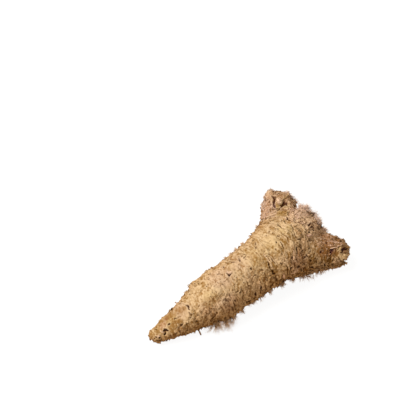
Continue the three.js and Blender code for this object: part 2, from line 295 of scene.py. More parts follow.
GROOVES = [
    # pixels of the photograph that it runs through; half width and depth; how dark it is
    ([(161.8, 330.8), (163.9, 330.4), (166.9, 331.1)], 0.5, 1.3, 1),
    ([(164.7, 332.5), (164.6, 334.9), (164.2, 336.6)], 0.4, 0.9, 0.8),
    ([(155.2, 337.2), (156.2, 339)], 0.4, 0.7, 0.8),
    ([(160.2, 338), (160.6, 339.6)], 0.4, 0.7, 0.8),
    ([(153.7, 340.2), (157.5, 342), (162, 341.4)], 0.6, 0.5, 0.5),
    ([(167.7, 324.4), (170, 322.7)], 0.3, 0.7, 0.9),
    ([(173.6, 318.6), (175.6, 318.1)], 0.25, 0.5, 0.8),
    ([(175.1, 304.9), (176.6, 303.3), (180.7, 302.9)], 0.45, 0.5, 0.4),
    ([(180.7, 302.9), (185.3, 304.3)], 0.3, 0.4, 0.25),
    ([(185.8, 304.8), (187.9, 306.3), (189.3, 309.4)], 0.35, 0.8, 0.9),
    ([(188.4, 312.4), (190.7, 315.6), (189.9, 318.4)], 0.5, 0.6, 0.6),
    ([(182.8, 324.7), (179.7, 326.7)], 0.5, 0.6, 0.6),
    ([(175.8, 328.6), (179, 328)], 1, 0.4, 0.45),
    ([(167.8, 332.8), (171, 338.5)], 0.7, 0.3, 0.4),
    ([(186.8, 292), (190.2, 289.5)], 0.35, 0.7, 0.7),
    ([(193, 298.4), (194, 296.8)], 0.3, 0.4, 0.45),
    ([(217.2, 273.4), (219.6, 273.1)], 0.3, 0.8, 1),
    ([(205.6, 285.6), (206.2, 285.2)], 0.3, 0.6, 0.8),
    ([(213.6, 285.8), (215.4, 285)], 0.25, 0.4, 0.5),
    ([(216.9, 281.4), (218.6, 282.9)], 0.25, 0.4, 0.5),
    ([(212.5, 292.2), (213.2, 291.8)], 0.25, 0.4, 0.5),
    ([(216.6, 291), (216.9, 292.4)], 0.3, 0.4, 0.5),
    ([(224.2, 280.6), (225.6, 280.6)], 0.25, 0.4, 0.5),
    ([(226.6, 272.2), (229.3, 274.5), (232.5, 272.5)], 0.3, 0.9, 1),
    ([(223, 265), (223.6, 266.4)], 0.35, 0.6, 0.8),
    ([(229, 260.4), (232, 260.9), (235.8, 261)], 0.25, 0.6, 0.7),
    ([(238.5, 257.8), (240.4, 260.2)], 0.3, 0.7, 0.9),
    ([(243.4, 257.5), (245.8, 254.8)], 0.25, 0.5, 0.7),
    ([(249.1, 255.6), (249.6, 255.2)], 0.3, 0.5, 0.6),
    ([(255.6, 241), (254.6, 244.8)], 0.35, 0.5, 0.6),
    ([(255.4, 246.6), (255.9, 247.4)], 0.35, 0.5, 0.7),
    ([(250.4, 246), (251.8, 245.2)], 0.25, 0.4, 0.5),
    ([(269.4, 230), (268.6, 233)], 0.5, 0.4, 0.5),
    ([(265.8, 235.2), (267, 234.4)], 0.4, 0.8, 0.95),
    ([(277.8, 234.4), (279.6, 235.6)], 0.3, 0.6, 0.7),
    ([(276.4, 241.9), (277, 241.1)], 0.45, 0.8, 0.85),
    ([(280.6, 241.2), (284.6, 247.1)], 0.28, 0.7, 0.8),
    ([(251.4, 267.4), (252.8, 268.7)], 0.35, 0.8, 0.9),
    ([(263.8, 253.4), (267.2, 256.6)], 0.3, 0.6, 0.8),
    ([(268.6, 261.5), (271, 270)], 0.28, 0.7, 0.85),
    ([(273, 270.8), (275.1, 274.9), (274.3, 278.3)], 0.42, 0.9, 1),
    ([(269.9, 255.9), (275.9, 262.9)], 0.22, 0.5, 0.7),
    ([(269, 275.8), (269.4, 276.8)], 0.45, 0.7, 0.8),
    ([(266.6, 279.4), (267.2, 280.2)], 0.35, 0.4, 0.5),
    ([(261.5, 286.6), (261.9, 291.9)], 0.4, 0.9, 1),
    ([(257.4, 293.4), (256.4, 296.8)], 0.5, 0.8, 0.8),
    ([(282.2, 263.7), (282.9, 264.4)], 0.4, 0.7, 0.8),
    ([(282.3, 252.6), (283.6, 254)], 0.45, 0.5, 0.6),
    ([(260, 272), (260.5, 272.5)], 0.3, 0.5, 0.6),
    ([(253.7, 277), (256.4, 275.4), (259.1, 277.8)], 0.25, 0.5, 0.35),
    ([(244.3, 282.2), (244.8, 283)], 0.35, 0.4, 0.45),
    ([(241.3, 289.7), (242.1, 290.4)], 0.35, 0.5, 0.7),
    ([(240.2, 293.6), (241.2, 292.9)], 0.35, 0.5, 0.55),
    ([(235.4, 300.4), (236.6, 302)], 0.4, 0.6, 0.7),
    ([(226.5, 301), (231.5, 300.2)], 0.8, 0.4, 0.5),
    ([(250.2, 301.2), (247.4, 303.4)], 0.7, 0.7, 0.9),
    ([(218.8, 321.4), (218.2, 322.8)], 0.5, 0.7, 0.8),
    ([(222.6, 321.4), (222.6, 322.8)], 0.5, 0.7, 0.9),
    ([(211.6, 324.4), (210.2, 326)], 0.5, 0.7, 0.9),
    ([(206, 314), (208.6, 316)], 1.1, 0.3, 0.4),
    ([(281.8, 278.4), (280.2, 281.4)], 0.6, 0.7, 0.9),
    ([(280.8, 205.4), (283, 203)], 1, 0.9, 1),
    ([(283, 203), (285.2, 201.8), (287.6, 204)], 1.3, 1.2, 1),
    ([(271.6, 195.4), (275.2, 195.6)], 0.6, 0.7, 0.95),
    ([(273.2, 196.5), (274.4, 199.5), (273.4, 202)], 0.9, 0.8, 1),
    ([(273.4, 203.4), (275.2, 206.8)], 0.65, 0.7, 0.85),
    ([(269.4, 199.6), (270.8, 198.6)], 0.4, 0.4, 0.5),
    ([(269.6, 204.2), (270.6, 204)], 0.45, 0.5, 0.8),
    ([(262.2, 207), (261.7, 217.5)], 0.3, 0.4, 0.5),
    ([(259.4, 219.9), (267.1, 216.8), (275.4, 213.6)], 0.42, 0.7, 0.95),
    ([(277.2, 210.2), (280.6, 206.4)], 0.3, 0.6, 0.85),
    ([(288.2, 213), (288.8, 214.2)], 0.55, 0.9, 0.8),
    ([(287.2, 216.6), (287.6, 218.4)], 0.5, 0.8, 0.8),
    ([(295.2, 218.2), (296.6, 219.6)], 0.55, 1, 0.85),
    ([(295.2, 206.6), (297.2, 204.8)], 0.5, 0.8, 0.7),
    ([(299.2, 227.9), (302.9, 231.4)], 0.5, 1.3, 1),
    ([(308.8, 226.4), (310.4, 224), (311.9, 222.8)], 0.45, 0.6, 0.95),
    ([(311.9, 222.8), (313.8, 223.8), (315.2, 226.2)], 0.4, 0.5, 0.6),
    ([(310.6, 227.4), (312.6, 226), (314.6, 228)], 0.4, 0.6, 1),
    ([(312.8, 229.2), (314.9, 230.4)], 0.4, 0.6, 0.9),
    ([(309.4, 231.8), (310.6, 232.6)], 0.5, 0.8, 0.9),
    ([(309.9, 238.3), (312.6, 240.3)], 0.75, 0.7, 0.6),
    ([(278.2, 222.5), (281.2, 227.2)], 0.25, 0.6, 0.7),
    ([(288, 229.2), (289, 230.2)], 0.35, 0.5, 0.6),
    ([(291.5, 223.5), (294, 228.4)], 0.35, 0.7, 0.6),
    ([(293.8, 229.2), (296.6, 235.6), (299.4, 238.6), (302.6, 238.4)], 0.42, 0.7, 0.5),
    ([(300.6, 240.2), (301.4, 243.6), (301.6, 247.4)], 0.35, 0.6, 0.6),
    ([(307, 255), (304.6, 259)], 0.45, 0.6, 0.7),
    ([(306.6, 236.3), (308.6, 243.6), (311.3, 251)], 0.35, 0.8, 0.7),
    ([(297.7, 246), (298.5, 253.7)], 0.4, 0.7, 0.65),
    ([(293.2, 255.4), (293.6, 260)], 0.28, 0.7, 0.7),
    ([(321.5, 251.9), (322.5, 252.7)], 0.55, 0.9, 0.85),
    ([(326, 241.2), (327.1, 242.6)], 0.4, 0.8, 0.9),
    ([(321.5, 236.6), (328.7, 239.6)], 0.4, 0.7, 0.6),
    ([(331.4, 250.4), (334, 250.2)], 0.8, 0.8, 0.85),
    ([(332, 252.6), (331.4, 254.8)], 0.6, 0.6, 0.7),
    ([(342, 251.8), (344.6, 249.6), (346, 247)], 0.8, 0.8, 1),
    ([(344.6, 249.6), (347.8, 248.6)], 0.7, 0.8, 0.9),
    ([(311.4, 261.4), (312.4, 262)], 0.45, 0.8, 0.9),
    ([(307.4, 256), (308.4, 256.6)], 0.35, 0.6, 0.7),
    ([(286.8, 254.8), (287.4, 255.3)], 0.35, 0.5, 0.6),
    ([(292.6, 267.4), (291.4, 270.6)], 0.5, 0.8, 0.8),
    ([(304.8, 270.9), (303, 272.4)], 0.8, 0.9, 1),
    ([(310.6, 268.4), (315.3, 269.7)], 0.5, 0.8, 0.9),
    ([(319.3, 265.6), (322.8, 266.5)], 0.4, 0.7, 0.8),
    ([(324.6, 263.4), (325.4, 266.6)], 0.4, 0.7, 0.8),
    ([(332.2, 265.2), (333.4, 265.6)], 0.55, 0.8, 0.9),
    ([(341, 261.4), (341.9, 262)], 0.45, 0.7, 0.8),
    ([(329.6, 258.6), (330.6, 259.4)], 0.35, 0.6, 0.6),
    ([(342.4, 257.8), (343, 258.3)], 0.3, 0.7, 0.8),
    ([(295.8, 274.2), (299.4, 273)], 0.6, 0.7, 0.9),
]
SMOOTH_PATCHES = [
    # a pixel at the middle of a broad smooth scale; its radius
    ((182, 311), 5.2),
    ((166, 319.5), 3.4),
    ((266, 206), 6.5),
    ((268, 193), 3),
    ((281.5, 213), 3.6),
    ((291, 202), 3.4),
    ((301, 212), 4.4),
    ((309, 216), 3.4),
    ((318, 234), 3.4),
    ((285, 227), 3),
    ((304.2, 243.6), 2.6),
    ((268, 240), 4),
    ((232, 268), 3.5),
]
STAINS_AND_SHADE = [
    # a pixel at its middle; its radius; how rosy, how yellow, how pale it is (below 0: mostly painted
    # shade)
    ((284.5, 228), 4.2, -0.2, 0.6, 0.8),
    ((304.4, 243.4), 3, 0.2, 0.1, 0.5),
    ((270, 243), 6, -0.2, 0.3, 0.25),
    ((256, 258), 7, -0.1, 0.3, 0.1),
    ((211, 298), 4, -0.1, 0.45, -0.1),
    ((171, 320), 3, 0, 0.5, -0.1),
    ((183, 310.5), 4.6, 0.25, 0, -0.1),
    ((153, 337), 4, 0, 0, -0.3),
    ((172, 314), 8, 0.2, 0, -0.35),
    ((162.3, 324.5), 2.2, 0.9, 0, 0.2),
    ((165.4, 319.1), 1.2, 1, 0, -0.4),
    ((220, 276), 7, 0.5, 0, 0.3),
    ((243, 262), 5, 0.4, 0, 0.35),
    ((234, 256.5), 3.5, 0.4, 0.2, -0.3),
    ((228, 303), 5, 0.4, 0, 0),
    ((235, 306), 8, 0.1, 0, 0.85),
    ((212, 309), 6, 0.3, 0, 0.15),
    ((260, 290), 7, 0.1, 0, 0.5),
    ((266, 208), 6.5, 0.7, -0.3, 0),
    ((273.5, 200), 3, -0.7, 0, 0),
    ((284.5, 204), 3, -0.9, 0, 0),
    ((281.8, 213), 3.4, -0.9, 0.7, -0.2),
    ((333, 251), 2, 0.8, 0, 0),
    ((345, 250), 2, 0.8, 0, 0),
    ((312.5, 226.5), 2, 0, 0, -1),
    ((298, 211), 5, 0.7, -0.2, 0.15),
    ((304, 216.5), 3, 0.1, 0.2, 0.2),
    ((306, 214), 6, 0, 0, 0.45),
    ((326, 246.5), 5, 0.6, -0.1, 0),
    ((300, 263), 6, 0.6, -0.2, 0.3),
    ((266, 280), 4, 0.2, 0.4, -0.3),
    ((340, 249), 3, 0.2, 0.5, -0.1),
    ((332, 254), 5, 0.1, 0, -0.3),
    ((322, 262), 9, -0.3, 0, -0.5),
    ((340, 258), 8, -0.35, 0, -0.5),
    ((305, 266), 6, -0.2, 0, -0.3),
    ((330, 244), 8, 0.35, -0.1, -0.55),
    ((330, 252), 5, 0, 0, -0.3),
    ((330, 237), 5, 0.3, 0, -0.5),
    ((344, 257), 3, 0, 0.3, 0.7),
    ((177, 328), 3.6, 0, 0, -0.45),
    ((161, 328), 10, 0, 0.3, 0),
    ((300, 205), 5, 0, 0, -0.3),
    ((281, 206), 9, 0, 0, -0.3),
    ((273, 263), 8, 0, 0, -0.3),
    ((300, 240), 9, 0, 0, -0.2),
]


def off_from(pixel):
    """How far each point of the plain skin is from the one that shows at a pixel."""
    return np.linalg.norm(body_points - body_points[seen_at(pixel)], axis=1)


def noise_field(places, size, seed):
    """Smooth noise, about -1 to 1, with lumps of the given size."""
    shift = Vector((17.3, 5.1, -9.7)) * seed
    return np.array([noise.noise(Vector(p) + shift) for p in (places / size).tolist()])


def plate_map(places, size, seed):
    """Dry plates: a tone for each, its slope along the limb, and how near a point is to a crack."""
    tones, slopes, gaps = [], [], []
    shift = Vector((3.7, 8.9, 1.3)) * seed
    for p in (places / np.array(size)).tolist():
        spot = Vector(p) + shift
        spot += noise.noise_vector(spot * 1.1) * 0.35
        distances, centres = noise.voronoi(spot)
        tones.append(noise.cell(centres[0] * 7.0))
        slopes.append(centres[0].x - spot.x)
        gaps.append(distances[1] - distances[0])
    return np.array(tones), np.array(slopes), 1 - smooth_step(np.array(gaps), 0.03, 0.16)


def near_path(path, half_width):
    """Depth of each point of the skin in a ragged groove along a path: 0 outside, 1 at its floor."""
    low, high = path.min(0) - 3 * half_width, path.max(0) + 3 * half_width
    close = np.flatnonzero(((body_points > low) & (body_points < high)).all(1))
    off = np.full(len(close), np.inf)
    for step, (a, b) in enumerate(zip(path[:-1], path[1:])):
        run = b - a
        share = np.clip((body_points[close] - a) @ run / max(run @ run, 1e-6), 0, 1)
        narrowing = 0.55 + 0.45 * np.sin(np.pi * (step + share) / (len(path) - 1))
        away = np.linalg.norm(body_points[close] - a - share[:, None] * run, axis=1)
        off = np.minimum(off, away / (half_width * narrowing))
    depth = np.zeros(len(body_points))
    depth[close] = smooth_step(1.5 - off + 0.5 * grain[close] + 0.25 * chip_tone[close], 0, 1.1)
    return depth


ring_turn = grown / RING_STEP + 0.5 * noise_field(straight, 15, 1) + 0.16 * noise_field(straight, 3.6, 2)
ring_rise = ring_turn % 1
ring_patch = smooth_step(noise_field(straight * [1, 0.45, 0.45], 7, 3), -0.4, 0.35)
ring_strength = ring_patch * (0.25 + 0.75 * smooth_step(grown, RINGED - 14, RINGED + 4))
ring_strength *= 1 - 0.6 * head
ring_lip = ring_strength * (ring_rise**2 - 0.4)
ring_side = np.minimum(ring_rise, 1 - ring_rise) * RING_STEP
ring_crease = ring_strength * np.exp(-((ring_side / RING_CREASE) ** 2))

coarse = 0.35 + 0.3 * flank + 0.1 * head + 0.4 * noise_field(straight, 6, 5)  # how rough the bark is
coarse = np.maximum(coarse, 0.08)
smooth = np.zeros(len(body_points))
for pixel, radius in SMOOTH_PATCHES:
    off = off_from(pixel) / radius
    smooth = np.maximum(smooth, 1 - smooth_step(off, 0.7, 1.15))
coarse *= 1 - 0.65 * smooth
plate_tone, plate_slope, plate_gap = plate_map(straight, PLATE_SIZE, 1)
chip_tone, chip_slope, chip_gap = plate_map(straight, np.array(PLATE_SIZE) * CHIP_SHARE, 2)
lumps = noise_field(body_points, LUMP_SIZE, 6) + 0.5 * noise_field(body_points, LUMP_SIZE / 2, 7)
pebbles = noise_field(body_points, PEBBLE_SIZE, 17)
grain = noise_field(body_points, 0.9, 8)

strand_drift = np.column_stack([1.4 * noise_field(straight, 3.2, 15), np.zeros((len(straight), 2))])
strand_place = straight * [1, 0.26, 0.26] + strand_drift
strands = 1 - 3.2 * np.abs(noise_field(strand_place, STRAND_STEP, 16))
strands *= (0.04 + 0.96 * flank) * (0.35 + 0.65 * smooth_step(grown, 16, 40)) * (1 - 0.9 * smooth)

round_place = np.column_stack([grown / 14, turned * RIB_SPAN / 3, np.zeros(len(grown))])
ribs = noise_field(round_place, 1.0, 10) + 0.6 * noise_field(round_place * [1, 2.2, 1], 1.0, 12)
ribs *= smooth_step(grown, HEAD, HEAD + 8)

crack_turn = grown / CRACK_STEP + 0.6 * noise_field(straight, 7, 13)
crack_side = np.abs(crack_turn % 1 - 0.5) * CRACK_STEP
crack_open = smooth_step(noise_field(straight * [0.8, 0.35, 0.35], 2.1, 14), 0.2, 0.5)
crack_open *= smooth_step(grown, CRACK_ZONE[0], CRACK_ZONE[0] + 12)
crack_open *= 1 - smooth_step(grown, CRACK_ZONE[1], CRACK_ZONE[1] + 8)
crack = crack_open * np.exp(-((crack_side / CRACK_HALF_WIDTH) ** 2))
crack_lip = crack_open * np.exp(-(((crack_side - CRACK_LIP[0]) / CRACK_LIP[1]) ** 2))

hollows = np.zeros(len(body_points))
hollow_depth = np.zeros(len(body_points))
lips = np.zeros(len(body_points))
for pixels, half_width, depth, dark in GROOVES:
    path = seen_path(pixels)
    groove = near_path(path, half_width + GROOVE_SPREAD)
    hollows = np.maximum(hollows, dark * groove)
    hollow_depth = np.maximum(hollow_depth, depth * groove)
    lips = np.maximum(lips, near_path(path, half_width + LIP_SPREAD))
marked = hollows.copy()
nick_draw = random.Random(NICK_SEED)
for _ in range(NICK_COUNT):
    at = nick_draw.randrange(len(body_points))
    reach = np.cross(body_normals[at], heading[at]) * nick_draw.uniform(0.05, 0.5)
    reach = reach + heading[at] * nick_draw.gauss(0, 0.3)
    half_width = nick_draw.uniform(0.2, 0.45)
    nick = near_path(np.array([body_points[at] - reach, body_points[at] + reach]), half_width)
    # Painted shade: a nick is darkened, the more on the flank.
    dark = (0.15 + 0.7 * nick_draw.random() ** 2) * (1 - 0.5 * head[at]) * (0.45 + 0.55 * flank[at])
    hollows = np.maximum(hollows, dark * nick)
    hollow_depth = np.maximum(hollow_depth, nick * half_width * 1.3)
lips *= 1 - hollows
hollows = relaxed(body_mesh, hollows[:, None], 1, 0.3)[:, 0]

plate_relief = PLATE_HEIGHT * (plate_tone + 1.3 * plate_slope - 1.1 * plate_gap)
chip_relief = PLATE_HEIGHT * CHIP_SHARE * (chip_tone + 1.3 * chip_slope - 1.1 * chip_gap)
fine_relief = (
    RING_HEIGHT * (ring_lip - 0.5 * ring_crease)
    + coarse * (plate_relief + chip_relief)
    + STRAND_HEIGHT * strands
    + RIB_HEIGHT * ribs
    + CRACK_DEPTH * (0.4 * crack_lip - crack)
    + (PEBBLE_HEIGHT * pebbles + GRAIN_HEIGHT * coarse * grain) * (1 - 0.5 * smooth) * (1 - 0.5 * head)
    + LIP_HEIGHT * lips
    + SMOOTH_HEIGHT * smooth
    - hollow_depth
)
relief = fine_relief + LUMP_HEIGHT * lumps
stands_out = fine_relief - relaxed(body_mesh, fine_relief[:, None], FOLD_ROUNDS)[:, 0]
belly = smooth_step(body_points[:, 2], 0.2, 1.6)
skin_points = body_points + body_normals * (relief * (0.25 + 0.75 * belly))[:, None]
skin_points[:, 2] = np.maximum(skin_points[:, 2], 0)
write_points(body_mesh, skin_points)

folds = smooth_step(-stands_out, 0.01, 0.16)  # painted shade in the folds
edges = smooth_step(stands_out, 0.01, 0.13)  # painted highlight on the raised ridges
rosy = 0.12 + 0.6 * head * (0.65 + 0.35 * smooth_step(body_points[:, 1], -16, -2))
yellow = np.full(len(body_points), 0.1)
stain_and_shade_tone = np.zeros(len(body_points))
for pixel, radius, rose_share, yellow_share, pale_share in STAINS_AND_SHADE:
    off = off_from(pixel) / radius + 0.25 * lumps
    stain = 1 - smooth_step(off, 0.5, 1.3)
    rosy += rose_share * stain
    yellow += yellow_share * stain
    stain_and_shade_tone += pale_share * stain
# Painted highlight: raised ridges and the lips of grooves are paler.
tone = 0.35 - 0.15 * head + 0.7 * edges + 0.5 * lips + 0.8 * stain_and_shade_tone
tone += (0.3 + 0.1 * flank) * plate_tone + (0.2 + 0.05 * flank) * chip_tone
tone += 0.58 * (1 - 0.5 * head) * noise_field(straight * [1, 0.7, 0.7], 2.3, 18)
ringed = smooth_step(grown, RINGED, RINGED + 10)
# Painted shade: ring creases and cracks are darkened, more on the flank.
dark_lines = np.maximum((0.6 + 0.25 * ringed) * ring_crease, 0.5 * crack)
dark_lines *= np.maximum(0.35 + 0.65 * flank, ringed)
darkened = rim * smooth_step(lumps + grain, -0.6, 0.9)  # painted shade: the underside, mottled, is darkened


def paint(mesh, name, values):
    """Keeps a value for each point of the mesh, for its material to read."""
    layer = mesh.attributes.new(name, "FLOAT", "POINT")
    layer.data.foreach_set("value", np.asarray(values, np.float32))


# Painted shade: pits, grooves, folds, ring creases, cracks and the underside are darkened, and so are
# the darker stain patches.
shaded = 0.9 * hollows + (0.26 + 0.48 * flank) * (1 - 0.4 * head) * folds + dark_lines + 0.3 * darkened
shaded = np.maximum(shaded, 0.25 * np.maximum(-stain_and_shade_tone, 0) + 0.7 * shaded)
paint(body_mesh, "hollow", np.clip(shaded, 0, 1))
paint(body_mesh, "tone", tone)
paint(body_mesh, "rosy", np.clip(rosy, 0, 1))
paint(body_mesh, "yellow", np.clip(yellow, 0, 1))
# Painted shade: the material darkens the bark where top is low
paint(body_mesh, "top", np.clip(topside + 0.15 * lumps, 0, 1))
paint(body_mesh, "grain", (0.65 + 0.2 * flank) * (1 - 0.35 * smooth) * (1 - 0.4 * head))

# Finish of the dry bark, used for all that is made of it: mottled tan, with rosy and yellow stains and a
# fine fibrous grain, and painted shade that darkens its hollows and the sides turned from the light. It
# is matt all over.
BARK = {
    "Pale": (0.595, 0.418, 0.235),
    "Rose": (0.55, 0.365, 0.25),
    "Straw": (0.53, 0.36, 0.165),
    "Brown": (0.275, 0.142, 0.035),
    "Russet": (0.285, 0.135, 0.05),
    "Crease": (0.112, 0.038, 0.002),
    # painted shade in the deepest hollows
    "Soil": (0.046, 0.012, 0.001),
    "Plum": (0.045, 0.01, 0.012),
    # painted shade tint for the flanks and the underside
    "Under": (0.7, 0.515, 0.325),
}
LAYERS = ("hollow", "tone", "rosy", "yellow", "top", "grain")


def add_socket(group, name, in_out, kind, value=None):
    socket = group.interface.new_socket(name, in_out=in_out, socket_type=kind)
    if value is not None:
        socket.default_value = value


def add_node(tree, kind, values=None, **settings):
    made = tree.nodes.new(kind)
    for name, value in settings.items():
        setattr(made, name, value)
    for name, value in (values or {}).items():
        if isinstance(value, bpy.types.NodeSocket):
            tree.links.new(value, made.inputs[name])
        else:
            made.inputs[name].default_value = value
    return made


def blend_colour(tree, share, first, second, kind="MIX"):
    """The colour between two others, each one a value or another node's output."""
    values = {0: share, 6: first, 7: second}
    return add_node(tree, "ShaderNodeMix", values, data_type="RGBA", blend_type=kind).outputs[2]


def spread(tree, value, low, high):
    """A value brought from the range low to high to the range 0 to 1."""
    values = {0: value, 1: low, 2: high}
    return add_node(tree, "ShaderNodeMapRange", values, interpolation_type="SMOOTHSTEP").outputs[0]


def calculate(tree, kind, first, second):
    return add_node(tree, "ShaderNodeMath", {0: first, 1: second}, operation=kind).outputs[0]


def bark_finish_group():
    group = bpy.data.node_groups.new("dry_bark_finish", "ShaderNodeTree")
    for name in BARK:
        add_socket(group, name, "INPUT", "NodeSocketColor", (*BARK[name], 1))
    for name in LAYERS:
        add_socket(group, name.capitalize(), "INPUT", "NodeSocketFloat", 0.0)
    add_socket(group, "Color", "OUTPUT", "NodeSocketColor")
    add_socket(group, "Roughness", "OUTPUT", "NodeSocketFloat")
    add_socket(group, "Relief", "OUTPUT", "NodeSocketFloat")
    given = add_node(group, "NodeGroupInput").outputs
    result = add_node(group, "NodeGroupOutput")
    place = add_node(group, "ShaderNodeTexCoord").outputs["Object"]

    def speckle(scale, detail, rough=0.6):
        values = {"Vector": place, "Scale": scale, "Detail": detail, "Roughness": rough}
        return add_node(group, "ShaderNodeTexNoise", values).outputs["Fac"]

    def share(first, second):
        return calculate(group, "MULTIPLY", first, second)

    patches = spread(group, speckle(120, 3), 0.38, 0.62)
    mottle = spread(group, speckle(520, 3, 0.6), 0.38, 0.64)
    fine = speckle(950, 3, 0.65)
    blush = share(spread(group, speckle(90, 2), 0.45, 0.7), 0.3)
    rosy = calculate(group, "MAXIMUM", given["Rosy"], blush)
    pale = blend_colour(group, rosy, given["Pale"], given["Rose"])
    pale = blend_colour(group, given["Yellow"], pale, given["Straw"])
    brown = blend_colour(group, rosy, given["Brown"], given["Russet"])
    grainy = calculate(group, "ADD", share(mottle, 0.42), share(spread(group, fine, 0.35, 0.66), 0.5))
    brownish = calculate(group, "ADD", share(patches, 0.2), share(grainy, given["Grain"]))
    toned = calculate(group, "SUBTRACT", brownish, share(given["Tone"], 0.75))
    base = blend_colour(group, spread(group, toned, -0.5, 0.75), pale, brown)
    # Painted shade: where Top is low, the colour is multiplied by the shade tint
    under = calculate(group, "SUBTRACT", 1.0, given["Top"])
    side_shaded = blend_colour(group, under, base, given["Under"], "MULTIPLY")
    # Painted shade in the hollows: brown in shallow ones, near black in the deepest.
    pit_shade = blend_colour(group, rosy, given["Soil"], given["Plum"])
    deep = blend_colour(group, spread(group, given["Hollow"], 0.5, 0.9), given["Crease"], pit_shade)
    specks = share(spread(group, fine, 0.57, 0.72), given["Grain"])
    flecks = share(spread(group, fine, 0.4, 0.26), share(given["Grain"], 0.5))
    speckled = blend_colour(group, specks, side_shaded, given["Crease"])
    flecked = blend_colour(group, flecks, speckled, pale)
    darkened = blend_colour(group, given["Hollow"], flecked, deep)
    roughness = add_node(group, "ShaderNodeMapRange", {0: mottle, 3: 0.78, 4: 0.95}).outputs[0]
    group.links.new(darkened, result.inputs["Color"])
    group.links.new(roughness, result.inputs["Roughness"])
    group.links.new(calculate(group, "ADD", fine, mottle), result.inputs["Relief"])
    return group


dry_bark_finish = bark_finish_group()


def bark_material(name, bump=0.5, **changed):
    """A matt material of dry bark, which reads the values painted on the mesh."""
    made = bpy.data.materials.new(name)
    made.use_nodes = True
    tree = made.node_tree
    shader = tree.nodes["Principled BSDF"]
    shader.inputs["Specular IOR Level"].default_value = 0.03
    finish = add_node(tree, "ShaderNodeGroup", node_tree=dry_bark_finish)
    for socket, colour in {**BARK, **changed}.items():
        finish.inputs[socket].default_value = (*colour, 1)
    for layer in LAYERS:
        painted = add_node(tree, "ShaderNodeAttribute", attribute_name=layer)
        tree.links.new(painted.outputs["Fac"], finish.inputs[layer.capitalize()])
    bumps = add_node(tree, "ShaderNodeBump", {"Strength": bump, "Distance": 0.0003})
    tree.links.new(finish.outputs["Relief"], bumps.inputs["Height"])
    tree.links.new(finish.outputs["Color"], shader.inputs["Base Color"])
    tree.links.new(finish.outputs["Roughness"], shader.inputs["Roughness"])
    tree.links.new(bumps.outputs["Normal"], shader.inputs["Normal"])
    return made


body = bpy.data.objects.new("bark_body", body_mesh)
bpy.context.scene.collection.objects.link(body)
body_mesh.materials.clear()
body_mesh.materials.append(bark_material("dry_bark"))
body_mesh.shade_smooth()
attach(body, "root")
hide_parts("rhizome")

